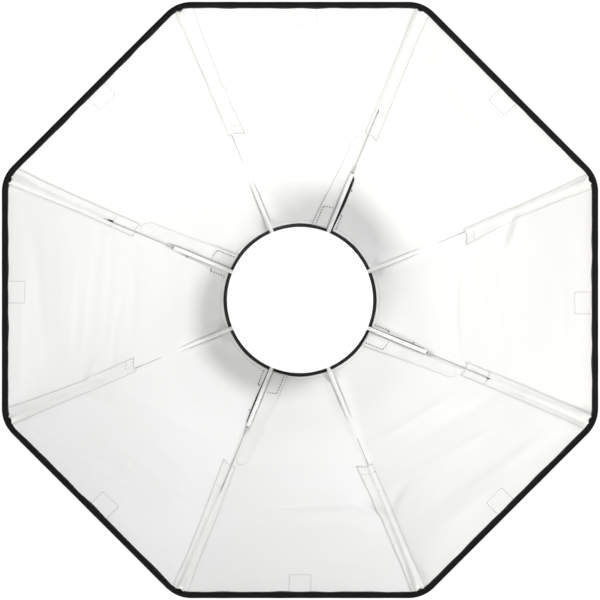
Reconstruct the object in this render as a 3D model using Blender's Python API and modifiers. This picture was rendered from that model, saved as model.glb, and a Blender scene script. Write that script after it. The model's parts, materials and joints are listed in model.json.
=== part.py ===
"""An octabox: an eight-sided softbox on a rotating speed ring, with a deflector plate.

Metres, +Z up. The box faces -Y, and the light stands behind it, at +Y. The origin is the centre of
the seat that rests on the light. An azimuth is measured about Y, from +X towards +Z.
"""

import math

import bmesh
import bpy
from mathutils import Matrix, Vector

GAP = 0.0003  # clearance between pieces that touch
PAST = 0.002  # how far a cutter runs out of what it cuts

# The sewn cover
SIDES = 8
RIM_FLATS = 0.600  # across flats, over the front binding
BOX_DEPTH = 0.205  # from the seat on the light to the front edge
RIM_CORNER = 0.034  # corner radius of the front opening
REAR_RADIUS = 0.0835  # radius of the rear opening
REAR_DEPTH = 0.0285  # from the seat on the light to the rear opening
SEAM_TURN = math.radians(40)  # how far a seam turns between its two ends
CLOTH = 0.0010
SLIT_LENGTH = 0.068
SLIT_GAP = 0.0032

# Binding, collar, sleeves and flaps sewn to the cover
BINDING_WIDTH = 0.0062
BINDING_PROUD = 0.0007  # how far the binding stands out of the cloth on each side
COLLAR_WALL = 0.0018
COLLAR_WIDTH = 0.0100
SLEEVE_START_RADIUS = 0.188  # how far the sleeve's open end is from the box's axis
SLEEVE_HALF_WIDTH = 0.0088
SLEEVE_CLOTH = 0.0008
SLOT_LENGTH = 0.030  # the open mouth of every other sleeve
SLOT_WIDTH = 0.0052
FLAP_CLOTH = 0.0012
FLAP_NEAR = 0.0042  # from the seam to the flap's free edge
FLAP_FAR = 0.0190  # from the seam to the flap's sewn edge
FLAP_START = 0.0040  # from the rear opening
FLAP_LENGTH = 0.1120
FLAP_CORNER = 0.003

# Rods
ROD_RADIUS = 0.0012
ROD_STANDOFF = 0.0043  # from the cloth to the rod's centreline
ROD_END_GAP = 0.004  # from the rod's outer end to the binding
FERRULE_RADIUS = 0.0021
FERRULE_END_RADIUS = 0.1450  # how far the ferrule's outer end is from the box's axis
FERRULE_BORE = 0.016  # how deep the rod sits in the ferrule
SOCKET_DEPTH = 0.020
SOCKET_MOUTH_RADIUS = 0.0755  # how far the socket's mouth is from the box's axis
BOSS_RADIUS = 0.0062
BOSS_LENGTH = 0.021

# Speed ring, from the front face to the rear
RING_FRONT = -0.0265
RING_STEP = -0.0150
RING_FLOOR = -0.0120
RING_REAR = -0.0037
RING_BORE = 0.054
RING_NECK_RADIUS = 0.0823
RING_FLANGE_RADIUS = 0.088

# Bayonet insert, which stays on the light
INSERT_BORE = 0.0495
INSERT_FLANGE_RADIUS = 0.070
INSERT_SEAT_RADIUS = 0.0625
INSERT_BARREL_RADIUS = 0.0560
INSERT_BARREL_LENGTH = 0.0100
LUG_RADIUS = 0.0610
LUG_THICKNESS = 0.0030
LUG_SPAN = math.radians(28)
LUG_ROOT = 0.0015  # how far a lug reaches into the barrel
LUG_SETBACK = 0.0004  # from the barrel's end to a lug
LUGS = 3

# Retainer plate and its screws
RETAINER_THICKNESS = 0.0020
RETAINER_RADIUS = 0.0865
SCREW_CIRCLE = 0.0790
SCREW_RADIUS = 0.0015
SCREW_LENGTH = 0.0065
THREAD_DEPTH = 0.0075
SCREW_HEAD_RADIUS = 0.0030
SCREW_HEAD_HEIGHT = 0.0010
RETAINER_SCREWS = 4

# Lock screws
LOCK_RADIUS = 0.0020
LOCK_HEAD_RADIUS = 0.0080
LOCK_HEAD_HEIGHT = 0.0100
LOCK_HEAD_GAP = 0.001  # from the speed ring to the head
SHANK_IN_HEAD = 0.003
LOCK_FLUTES = 12
LOCK_FLUTE_DEPTH = 0.0005
LOCK_AZIMUTHS = (0.0, math.pi)

# Deflector
DEFLECTOR_RADIUS = 0.0767
DEFLECTOR_FRONT = -0.0780
DEFLECTOR_THICKNESS = 0.0015
DEFLECTOR_LIP = 0.0030
DEFLECTOR_ROUND = 0.0012
POSTS = 4
POST_CIRCLE = 0.0650
POST_RADIUS = 0.0030
POST_FOOT_RADIUS = 0.0045
POST_FOOT = 0.0020
POST_FOOT_TAPER = 0.0015
POST_NOSE = 0.0010
GROMMET_RADIUS = 0.0047
GROMMET_FLANGE_RADIUS = 0.0068
GROMMET_FLANGE = 0.0016
GROMMET_DEPTH = 0.0095

HALF_TURN = math.pi / SIDES  # from a seam to the middle of a panel
COLUMNS = 2  # faces round half a corner
ROWS = 10  # faces from the rear opening to the rim
ROUND_STEPS = 48
SMALL_STEPS = 16

MATERIALS = {
    "white_cloth": ((0.90, 0.90, 0.89), 0.75, 0.0),
    "black_cloth": ((0.02, 0.02, 0.02), 0.85, 0.0),
    "white_rod": ((0.86, 0.86, 0.84), 0.30, 0.0),
    "black_plastic": ((0.03, 0.03, 0.03), 0.50, 0.0),
    "black_metal": ((0.03, 0.03, 0.03), 0.45, 0.3),
    "bright_metal": ((0.75, 0.75, 0.76), 0.25, 1.0),
    "white_plate": ((0.92, 0.92, 0.91), 0.40, 0.0),
    "rubber": ((0.04, 0.04, 0.04), 0.80, 0.0),
}


# Scene helpers ------------------------------------------------------------------------------------


def clear_scene():
    for obj in list(bpy.data.objects):
        bpy.data.objects.remove(obj)


def new_collection(name, parent=None):
    collection = bpy.data.collections.new(name)
    (parent or bpy.context.scene.collection).children.link(collection)
    return collection


def material(name):
    found = bpy.data.materials.get(name)
    if found:
        return found
    colour, roughness, metallic = MATERIALS[name]
    made = bpy.data.materials.new(name)
    made.use_nodes = True
    shader = made.node_tree.nodes["Principled BSDF"]
    shader.inputs["Base Color"].default_value = (*colour, 1.0)
    shader.inputs["Roughness"].default_value = roughness
    shader.inputs["Metallic"].default_value = metallic
    return made


def place(name, data, collection, material_name=None, matrix=None):
    """Links an object that shows data, standing where matrix puts it."""
    obj = bpy.data.objects.new(name, data)
    collection.objects.link(obj)
    if material_name:
        data.materials.clear()
        data.materials.append(material(material_name))
    if matrix:
        obj.matrix_world = matrix
    return obj


def hide_helper(obj):
    obj.hide_render = True
    obj.display_type = "WIRE"


def round_about(azimuth):
    """Turns what stands at azimuth 0 to another azimuth about the box's axis."""
    return Matrix.Rotation(-azimuth, 4, "Y")


def at_circle(azimuth, radius, y=0.0):
    return Vector((radius * math.cos(azimuth), y, radius * math.sin(azimuth)))


# Shape helpers ------------------------------------------------------------------------------------


def turned_mesh(name, profile):
    """A closed profile of (radius, y) points as edges, run so that a Screw about Y faces out."""
    area = sum(
        a[0] * b[1] - b[0] * a[1] for a, b in zip(profile, profile[1:] + profile[:1])
    )
    points = profile if area < 0 else profile[::-1]
    mesh = bpy.data.meshes.new(name)
    edges = [(i, (i + 1) % len(points)) for i in range(len(points))]
    mesh.from_pydata([(r, y, 0.0) for r, y in points], edges, [])
    return mesh


def turn(obj, steps):
    """Sweeps an object's profile round its own Y axis."""
    screw = obj.modifiers.new("Screw", "SCREW")
    screw.axis = "Y"
    screw.steps = steps
    screw.render_steps = steps
    screw.use_merge_vertices = True
    screw.merge_threshold = 0.00001
    screw.use_smooth_shade = False
    return obj


def turned(name, profile, collection, material_name=None, matrix=None, steps=SMALL_STEPS):
    data = turned_mesh(name, profile)
    return turn(place(name, data, collection, material_name, matrix), steps)


def ring_profile(inner, outer, front, rear):
    return [(inner, front), (outer, front), (outer, rear), (inner, rear)]


def cylinder(name, radius, start, end, collection, sides=SMALL_STEPS):
    """A closed cylinder between two points."""
    start = Vector(start)
    end = Vector(end)
    mesh = bpy.data.meshes.new(name)
    shape = bmesh.new()
    bmesh.ops.create_cone(
        shape,
        cap_ends=True,
        segments=sides,
        radius1=radius,
        radius2=radius,
        depth=(end - start).length,
    )
    shape.to_mesh(mesh)
    shape.free()
    turn_z = (end - start).to_track_quat("Z", "X").to_matrix().to_4x4()
    return place(name, mesh, collection, None, Matrix.Translation((start + end) / 2) @ turn_z)


def box(name, size, collection, matrix):
    mesh = bpy.data.meshes.new(name)
    shape = bmesh.new()
    bmesh.ops.create_cube(shape, size=1.0)
    bmesh.ops.scale(shape, vec=size, verts=shape.verts)
    shape.to_mesh(mesh)
    shape.free()
    return place(name, mesh, collection, None, matrix)


def flat_plate(name, outline, thickness, collection, material_name=None, matrix=None):
    """A flat outline of (x, y) points, given a thickness along local Z and made a closed mesh."""
    curve = bpy.data.curves.new(name, "CURVE")
    curve.dimensions = "2D"
    curve.fill_mode = "BOTH"
    curve.extrude = thickness / 2
    spline = curve.splines.new("POLY")
    spline.points.add(len(outline) - 1)
    for point, (x, y) in zip(spline.points, outline):
        point.co = (x, y, 0.0, 1.0)
    spline.use_cyclic_u = True
    guide = place(name + "_outline", curve, collection)
    graph = bpy.context.evaluated_depsgraph_get()
    mesh = bpy.data.meshes.new_from_object(guide.evaluated_get(graph))
    bpy.data.objects.remove(guide)
    weld(mesh)
    return place(name, mesh, collection, material_name, matrix)


def weld(mesh):
    shape = bmesh.new()
    shape.from_mesh(mesh)
    bmesh.ops.remove_doubles(shape, verts=shape.verts, dist=0.00001)
    bmesh.ops.recalc_face_normals(shape, faces=shape.faces)
    shape.to_mesh(mesh)
    shape.free()


def grid_mesh(name, rows, closed_ring=False):
    """Quads through rows of points. A closed ring also joins the last point of a row to its first."""
    width = len(rows[0])
    mesh = bpy.data.meshes.new(name)
    faces = []
    for row in range(len(rows) - 1):
        for column in range(width if closed_ring else width - 1):
            a = row * width + column
            b = row * width + (column + 1) % width
            faces.append((a, b, b + width, a + width))
    mesh.from_pydata([tuple(point) for row in rows for point in row], [], faces)
    mesh.shade_smooth()
    return mesh


def thicken(obj, thickness, outwards=True):
    """Gives an open sheet, whose faces look outwards, a thickness on one side."""
    solid = obj.modifiers.new("Solidify", "SOLIDIFY")
    solid.thickness = thickness
    solid.offset = 1.0 if outwards else -1.0
    return obj


def combine(obj, collection, operation):
    """Unites an object with, or cuts it by, every mesh in a collection."""
    boolean = obj.modifiers.new("Boolean", "BOOLEAN")
    boolean.operand_type = "COLLECTION"
    boolean.collection = collection
    boolean.operation = operation
    boolean.solver = "EXACT"
    for other in collection.objects:
        hide_helper(other)


# The cover's surface ------------------------------------------------------------------------------


def seam_circle():
    """The circle that a seam follows, in (radius, y): its centre, its radius and its first angle.

    An angle is measured from +Y towards +radius. The seam runs from the rear opening to the rim.
    """
    rim_apothem = RIM_FLATS / 2 - CLOTH - BINDING_PROUD
    corner_loss = RIM_CORNER * (1 / math.cos(HALF_TURN) - 1)
    start = Vector((REAR_RADIUS, -REAR_DEPTH))
    end = Vector((rim_apothem / math.cos(HALF_TURN) - corner_loss, -BOX_DEPTH))
    chord = end - start
    radius = chord.length / 2 / math.sin(SEAM_TURN / 2)
    inwards = Vector((chord.y, -chord.x)).normalized()
    centre = (start + end) / 2 + inwards * radius * math.cos(SEAM_TURN / 2)
    first = math.atan2(start.x - centre.x, start.y - centre.y)
    return centre, radius, first


SEAM_CENTRE, SEAM_RADIUS, SEAM_FIRST = seam_circle()
SEAM_LENGTH = SEAM_RADIUS * SEAM_TURN


def seam_point(share, standoff=0.0):
    """(radius, y) at a share of the seam's length, a distance in front of the cloth."""
    angle = SEAM_FIRST + SEAM_TURN * share
    reach = SEAM_RADIUS - standoff
    return SEAM_CENTRE + reach * Vector((math.sin(angle), math.cos(angle)))


def corner_radius(share):
    """The cover is round at the rear opening, tight over the rods, and wide at the rim."""
    return RIM_CORNER * share**3 + REAR_RADIUS * (1 - share) ** 6


def half_panel(share):
    """The way round the section from a seam to the middle of a panel."""
    radius, _ = seam_point(share)
    corner = corner_radius(share)
    apothem = radius * math.cos(HALF_TURN) + corner * (1 - math.cos(HALF_TURN))
    return corner * HALF_TURN + (apothem - corner) * math.tan(HALF_TURN)


def cover_point(share, across):
    """A point of the cover's inner face, a signed way round the section from the seam at azimuth 0."""
    radius, y = seam_point(share)
    corner = corner_radius(share)
    side = 1.0 if across >= 0 else -1.0
    angle = min(abs(across) / corner, HALF_TURN)
    past = max(abs(across) - corner * HALF_TURN, 0.0)
    x = radius - corner + corner * math.cos(angle) - past * math.sin(HALF_TURN)
    z = corner * math.sin(angle) + past * math.cos(HALF_TURN)
    return Vector((x, y, side * z))


def cover_normal(share, across):
    """The cover's outward normal there."""
    step = 0.001
    forwards = cover_point(share + step, across) - cover_point(share - step, across)
    round_it = cover_point(share, across + step) - cover_point(share, across - step)
    return round_it.cross(forwards).normalized()


def off_cover(share, across, outwards):
    """A point at a distance from the cover's inner face."""
    return cover_point(share, across) + outwards * cover_normal(share, across)


def share_of(length):
    return length / SEAM_LENGTH


COVER_END = 1 - share_of(BINDING_WIDTH + GAP)


def seam_azimuth(index):
    return (2 * index + 1) * HALF_TURN


def has_slit(index):
    """Every other seam is open beside the speed ring, so that the cover can go over it."""
    return index % 2 == 1


def edge_gap(share, index):
    """Half of the gap between the two panels at a seam."""
    slit = SLIT_GAP / 2 if has_slit(index) and share < share_of(SLIT_LENGTH) else 0.0
    return max(slit, GAP)


# Soft parts ---------------------------------------------------------------------------------------


def panel_rows(index):
    """Points of the panel between seam index and the next one, from the rear opening to the rim."""
    rows = []
    for row in range(ROWS + 1):
        share = COVER_END * row / ROWS
        corner = corner_radius(share) * HALF_TURN
        points = []
        for side, seam in ((1, index), (-1, (index + 1) % SIDES)):
            gap = edge_gap(share, seam)
            steps = [gap + (corner - gap) * i / COLUMNS for i in range(COLUMNS + 1)]
            to_seam = round_about(seam_azimuth(index) + (0 if side > 0 else 2 * HALF_TURN))
            half = [to_seam @ cover_point(share, side * across) for across in steps]
            if side > 0:
                half.append(to_seam @ cover_point(share, half_panel(share)))
            points += half if side > 0 else half[::-1]
        rows.append(points)
    return rows


def make_panels(collection):
    for index in range(SIDES):
        name = f"panel_{index + 1}"
        panel = place(name, grid_mesh(name, panel_rows(index)), collection, "white_cloth")
        thicken(panel, CLOTH)


def strip_mesh(name, shares, across, heights):
    """A sheet along a seam: its points across it, each at a height over the cover's inner face."""
    rows = [
        [off_cover(share, v, height) for v, height in zip(across, heights)]
        for share in shares
    ]
    return grid_mesh(name, rows)


def sleeve_shares():
    start = rod_share_at(SLEEVE_START_RADIUS)
    end = COVER_END - share_of(GAP)
    return [start + (end - start) * i / ROWS for i in range(ROWS + 1)]


def make_sleeves(collection, helpers):
    """White strips sewn over the rods' outer halves. Each stands over its rod like a tunnel."""
    crown = ROD_STANDOFF + ROD_RADIUS + GAP
    half = SLEEVE_HALF_WIDTH
    hem = 3 * GAP
    across = [-half, -0.62 * half, -0.3 * half, 0.0, 0.3 * half, 0.62 * half, half]
    heights = [hem, 0.5 * crown, crown, crown + GAP, crown, 0.5 * crown, hem]
    shares = sleeve_shares()
    mesh = strip_mesh("rod_sleeve", shares, across, [-h for h in heights])
    slots = new_collection("sleeve_slots", helpers)
    first = rod_point(shares[0] - share_of(2 * PAST))
    last = rod_point(shares[0] + share_of(SLOT_LENGTH))
    way = (last - first).normalized()
    tilt = way.to_track_quat("X", "Z").to_matrix().to_4x4()
    for index in range(SIDES):
        matrix = round_about(seam_azimuth(index))
        name = f"rod_sleeve_{index + 1}"
        data = mesh.copy()
        sleeve = place(name, data, collection, "white_cloth", matrix)
        thicken(sleeve, SLEEVE_CLOTH, outwards=False)
        if has_slit(index):
            slot = new_collection(f"slot_{index + 1}", slots)
            middle = matrix @ Matrix.Translation((first + last) / 2) @ tilt
            size = ((last - first).length, 4 * crown, SLOT_WIDTH)
            box(f"slot_cutter_{index + 1}", size, slot, middle)
            combine(sleeve, slot, "DIFFERENCE")


def flap_side(index):
    """The flaps are sewn to alternate sides of the slits."""
    return 1 if index % 4 == 1 else -1


def flap_frame(index):
    """Where a flap stands. Its X runs along the sewn edge, and its Z towards the inside of the box."""
    side = flap_side(index)
    start = share_of(FLAP_START)
    end = share_of(FLAP_START + FLAP_LENGTH)
    back = cover_point(start, side * FLAP_FAR)
    front = cover_point(end, side * FLAP_FAR)
    along_edge = (front - back).normalized()
    middle = (start + end) / 2
    to_free = cover_point(middle, side * FLAP_NEAR) - cover_point(middle, side * FLAP_FAR)
    inwards = -cover_normal(middle, side * (FLAP_NEAR + FLAP_FAR) / 2)
    inwards = (inwards - along_edge * inwards.dot(along_edge)).normalized()
    centre = (back + front) / 2
    steps = [i / 8 for i in range(9)]
    lift = 0.0
    for a in steps:
        for b in steps:
            reach = FLAP_NEAR + (FLAP_FAR - FLAP_NEAR) * b
            cloth = cover_point(start + (end - start) * a, side * reach)
            lift = max(lift, (cloth - centre).dot(inwards))
    sideways = inwards.cross(along_edge)
    if sideways.dot(to_free) < 0:
        along_edge = -along_edge
        sideways = -sideways
    turn_to = Matrix((along_edge, sideways, inwards)).transposed().to_4x4()
    stand = Matrix.Translation(centre + inwards * (lift + 2 * GAP)) @ turn_to
    return round_about(seam_azimuth(index)) @ stand


def make_closure_flaps(collection):
    """White strips beside the slits, sewn along the edge that is farther from the rod."""
    width = FLAP_FAR - FLAP_NEAR
    half = FLAP_LENGTH / 2
    outline = [
        (-half, 0.0),
        (half, 0.0),
        (half, width - FLAP_CORNER),
        (half - FLAP_CORNER, width),
        (-half + FLAP_CORNER, width),
        (-half, width - FLAP_CORNER),
    ]
    number = 0
    for index in filter(has_slit, range(SIDES)):
        number += 1
        matrix = flap_frame(index)
        name = f"closure_flap_{number}"
        flap = flat_plate(name, outline, FLAP_CLOTH, collection, "white_cloth", matrix)
        flap.data.transform(Matrix.Translation((0, 0, FLAP_CLOTH / 2)))


def section_stations():
    """(seam, way round from it) all round the rim, in order of azimuth."""
    corner = RIM_CORNER * HALF_TURN
    steps = [corner * i / COLUMNS for i in range(COLUMNS + 1)]
    stations = []
    for index in range(SIDES):
        stations += [(index, -v) for v in steps[:0:-1]] + [(index, v) for v in steps]
    return stations


def make_front_binding(collection):
    """Black tape folded over the rim. Its front face is flat, across the box's axis."""
    first = 1 - share_of(BINDING_WIDTH)
    sections = []
    for index, across in section_stations():
        to_seam = round_about(seam_azimuth(index))
        section = []
        for height in (-BINDING_PROUD, CLOTH + BINDING_PROUD):
            back = off_cover(first, across, height)
            front = off_cover(1.0, across, height)
            slope = (front - back) / (front.y - back.y)
            flat = back + slope * (-BOX_DEPTH - back.y)
            section.append((to_seam @ back, to_seam @ flat))
        (inner_back, inner_front), (outer_back, outer_front) = section
        sections.append([inner_back, inner_front, outer_front, outer_back])
    rows = sections + sections[:1]
    mesh = grid_mesh("front_binding", rows, closed_ring=True)
    weld(mesh)
    place("front_binding", mesh, collection, "black_cloth")


def make_rear_collar(collection):
    """The black hem that grips the speed ring's neck."""
    inner = RING_NECK_RADIUS + GAP
    front = RING_FRONT - GAP
    profile = ring_profile(inner, inner + COLLAR_WALL, front, front + COLLAR_WIDTH)
    turned("rear_collar", profile, collection, "black_cloth", steps=ROUND_STEPS)


# Rods ---------------------------------------------------------------------------------------------


def rod_share_at(radius):
    """The share of the seam at which a rod's centreline is this far from the box's axis."""
    reach = SEAM_RADIUS - ROD_STANDOFF
    return (math.asin((radius - SEAM_CENTRE.x) / reach) - SEAM_FIRST) / SEAM_TURN


def rod_point(share):
    radius, y = seam_point(share, ROD_STANDOFF)
    return Vector((radius, y, 0.0))


def rod_direction(share):
    angle = SEAM_FIRST + SEAM_TURN * share
    return Vector((math.cos(angle), -math.sin(angle), 0.0))


MOUTH_SHARE = rod_share_at(SOCKET_MOUTH_RADIUS)
FERRULE_SHARE = rod_share_at(FERRULE_END_RADIUS)
ROD_END_SHARE = COVER_END - share_of(ROD_END_GAP)


def bar_mesh(name, points, radius, sides=3):
    """A closed round bar through points."""
    curve = bpy.data.curves.new(name, "CURVE")
    curve.dimensions = "3D"
    curve.bevel_depth = radius
    curve.bevel_resolution = sides
    curve.use_fill_caps = True
    spline = curve.splines.new("POLY")
    spline.points.add(len(points) - 1)
    for point, place_at in zip(spline.points, points):
        point.co = (*place_at, 1.0)
    guide = place(name + "_path", curve, bpy.context.scene.collection)
    graph = bpy.context.evaluated_depsgraph_get()
    mesh = bpy.data.meshes.new_from_object(guide.evaluated_get(graph))
    bpy.data.objects.remove(guide)
    weld(mesh)
    mesh.shade_smooth()
    return mesh


def rod_points(first, last, steps):
    return [rod_point(first + (last - first) * i / steps) for i in range(steps + 1)]


def make_rods(collection):
    """Glass-fibre rods, set in the ferrules' outer ends and bent from there to the rim."""
    bottom = FERRULE_SHARE - share_of(FERRULE_BORE - GAP)
    mesh = bar_mesh("rod", rod_points(bottom, ROD_END_SHARE, 12), ROD_RADIUS, 2)
    for index in range(SIDES):
        matrix = round_about(seam_azimuth(index))
        place(f"rod_{index + 1}", mesh, collection, "white_rod", matrix)


def make_ferrules(collection, helpers):
    """Thicker white bars that plug into the speed ring's sockets."""
    mouth = rod_point(MOUTH_SHARE)
    inner_end = mouth - rod_direction(MOUTH_SHARE) * (SOCKET_DEPTH - GAP)
    points = [inner_end] + rod_points(MOUTH_SHARE, FERRULE_SHARE, 5)
    bar = bar_mesh("rod_ferrule", points, FERRULE_RADIUS, 3)
    bottom = FERRULE_SHARE - share_of(FERRULE_BORE)
    bore = rod_points(bottom, FERRULE_SHARE + share_of(PAST), 2)
    hole = bar_mesh("ferrule_bore", bore, ROD_RADIUS + GAP, 3)
    holes = new_collection("ferrule_bores", helpers)
    for index in range(SIDES):
        matrix = round_about(seam_azimuth(index))
        name = f"rod_ferrule_{index + 1}"
        ferrule = place(name, bar.copy(), collection, "white_rod", matrix)
        own = new_collection(f"ferrule_hole_{index + 1}", holes)
        place(f"ferrule_bore_{index + 1}", hole, own, None, matrix)
        combine(ferrule, own, "DIFFERENCE")


# Hard parts ---------------------------------------------------------------------------------------


def retainer_azimuth(index):
    return (2 * index + 1) * math.pi / RETAINER_SCREWS


def post_azimuth(index):
    return 2 * index * math.pi / POSTS


def make_speed_ring(collection, helpers):
    profile = [
        (RING_BORE, RING_FRONT),
        (RING_NECK_RADIUS, RING_FRONT),
        (RING_NECK_RADIUS, RING_STEP),
        (RING_FLANGE_RADIUS, RING_STEP),
        (RING_FLANGE_RADIUS, RING_REAR),
        (INSERT_FLANGE_RADIUS + GAP, RING_REAR),
        (INSERT_FLANGE_RADIUS + GAP, RING_FLOOR),
        (RING_BORE, RING_FLOOR),
    ]
    ring = turned("speed_ring", profile, collection, "black_metal", steps=ROUND_STEPS)
    bosses = new_collection("ring_bosses", helpers)
    holes = new_collection("ring_holes", helpers)
    mouth = rod_point(MOUTH_SHARE)
    direction = rod_direction(MOUTH_SHARE)
    for index in range(SIDES):
        turn_to = round_about(seam_azimuth(index))
        end = turn_to @ mouth
        way = turn_to @ direction
        cylinder(f"boss_{index + 1}", BOSS_RADIUS, end - way * BOSS_LENGTH, end, bosses)
        bottom = end - way * SOCKET_DEPTH
        cylinder(f"socket_{index + 1}", FERRULE_RADIUS + GAP, bottom, end + way * PAST, holes)
    for index in range(POSTS):
        front = at_circle(post_azimuth(index), POST_CIRCLE, RING_FRONT - PAST)
        back = at_circle(post_azimuth(index), POST_CIRCLE, RING_FRONT + GROMMET_DEPTH + GAP)
        cylinder(f"grommet_hole_{index + 1}", GROMMET_RADIUS + GAP, front, back, holes)
    for index in range(RETAINER_SCREWS):
        rear = at_circle(retainer_azimuth(index), SCREW_CIRCLE, RING_REAR + PAST)
        floor = at_circle(retainer_azimuth(index), SCREW_CIRCLE, RING_REAR - THREAD_DEPTH)
        cylinder(f"thread_{index + 1}", SCREW_RADIUS + GAP, floor, rear, holes)
    for number, azimuth in enumerate(LOCK_AZIMUTHS, 1):
        inner = at_circle(azimuth, INSERT_FLANGE_RADIUS - PAST, lock_depth())
        outer = at_circle(azimuth, RING_FLANGE_RADIUS + PAST, lock_depth())
        cylinder(f"lock_hole_{number}", LOCK_RADIUS + GAP, inner, outer, holes)
    combine(ring, bosses, "UNION")
    combine(ring, holes, "DIFFERENCE")


def lock_depth():
    """The lock screws press on the middle of the insert's flange."""
    return (RING_FLOOR + RING_REAR) / 2


def make_bayonet_insert(collection, helpers):
    """The flange that turns in the speed ring, with a three-lug barrel that goes into the light."""
    front = RING_FLOOR + GAP
    profile = [
        (INSERT_BORE, front),
        (INSERT_FLANGE_RADIUS, front),
        (INSERT_FLANGE_RADIUS, RING_REAR),
        (INSERT_SEAT_RADIUS, RING_REAR),
        (INSERT_SEAT_RADIUS, 0.0),
        (INSERT_BARREL_RADIUS, 0.0),
        (INSERT_BARREL_RADIUS, INSERT_BARREL_LENGTH),
        (INSERT_BORE, INSERT_BARREL_LENGTH),
    ]
    insert = turned("bayonet_insert", profile, collection, "bright_metal", steps=ROUND_STEPS)
    lugs = new_collection("insert_lugs", helpers)
    steps = 6
    inner = INSERT_BARREL_RADIUS - LUG_ROOT
    angles = [LUG_SPAN * (i / steps - 0.5) for i in range(steps + 1)]
    outline = [(LUG_RADIUS * math.cos(a), LUG_RADIUS * math.sin(a)) for a in angles]
    outline += [(inner * math.cos(a), inner * math.sin(a)) for a in reversed(angles)]
    middle = INSERT_BARREL_LENGTH - LUG_SETBACK - LUG_THICKNESS / 2
    lie_down = Matrix.Translation((0, middle, 0)) @ Matrix.Rotation(math.pi / 2, 4, "X")
    for index in range(LUGS):
        azimuth = math.pi / 2 + 2 * math.pi * index / LUGS
        matrix = round_about(azimuth) @ lie_down
        flat_plate(f"lug_{index + 1}", outline, LUG_THICKNESS, lugs, None, matrix)
    combine(insert, lugs, "UNION")


def make_retainer(collection, helpers):
    """The plate that keeps the insert in the speed ring, and its screws."""
    front = RING_REAR + GAP
    rear = front + RETAINER_THICKNESS
    profile = ring_profile(INSERT_SEAT_RADIUS + GAP, RETAINER_RADIUS, front, rear)
    plate = turned("retainer_plate", profile, collection, "black_metal", steps=ROUND_STEPS)
    holes = new_collection("retainer_holes", helpers)
    head = SCREW_HEAD_HEIGHT
    screw = [
        (0.0, -SCREW_LENGTH),
        (SCREW_RADIUS, -SCREW_LENGTH),
        (SCREW_RADIUS, 0.0),
        (SCREW_HEAD_RADIUS, 0.0),
        (SCREW_HEAD_RADIUS, 0.6 * head),
        (0.7 * SCREW_HEAD_RADIUS, head),
        (0.0, head),
    ]
    data = turned_mesh("retainer_screw", screw)
    for index in range(RETAINER_SCREWS):
        azimuth = retainer_azimuth(index)
        start = at_circle(azimuth, SCREW_CIRCLE, front - PAST)
        end = at_circle(azimuth, SCREW_CIRCLE, rear + PAST)
        cylinder(f"retainer_hole_{index + 1}", SCREW_RADIUS + GAP, start, end, holes)
        matrix = Matrix.Translation(at_circle(azimuth, SCREW_CIRCLE, rear + GAP))
        name = f"retainer_screw_{index + 1}"
        turn(place(name, data, collection, "bright_metal", matrix), 12)
    combine(plate, holes, "DIFFERENCE")


def make_lock_screws(collection, helpers):
    """Fluted thumbscrews that clamp the insert. Each has its origin on its own axis."""
    tip = INSERT_FLANGE_RADIUS + 2 * GAP
    seat = RING_FLANGE_RADIUS + LOCK_HEAD_GAP
    count = 4 * LOCK_FLUTES
    outline = []
    for i in range(count):
        angle = 2 * math.pi * i / count
        radius = LOCK_HEAD_RADIUS - LOCK_FLUTE_DEPTH * (1 - math.cos(LOCK_FLUTES * angle))
        outline.append((radius * math.cos(angle), radius * math.sin(angle)))
    for number, azimuth in enumerate(LOCK_AZIMUTHS, 1):
        name = f"lock_screw_{number}"
        outwards = at_circle(azimuth, 1.0)
        turn_out = outwards.to_track_quat("Z", "Y").to_matrix().to_4x4()
        middle = at_circle(azimuth, seat + LOCK_HEAD_HEIGHT / 2, lock_depth())
        matrix = Matrix.Translation(middle) @ turn_out
        knob = flat_plate(name, outline, LOCK_HEAD_HEIGHT, collection, "black_plastic", matrix)
        shanks = new_collection(f"lock_shank_{number}", helpers)
        start = at_circle(azimuth, tip, lock_depth())
        end = at_circle(azimuth, seat + SHANK_IN_HEAD, lock_depth())
        cylinder(f"shank_{number}", LOCK_RADIUS, start, end, shanks)
        combine(knob, shanks, "UNION")


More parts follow.
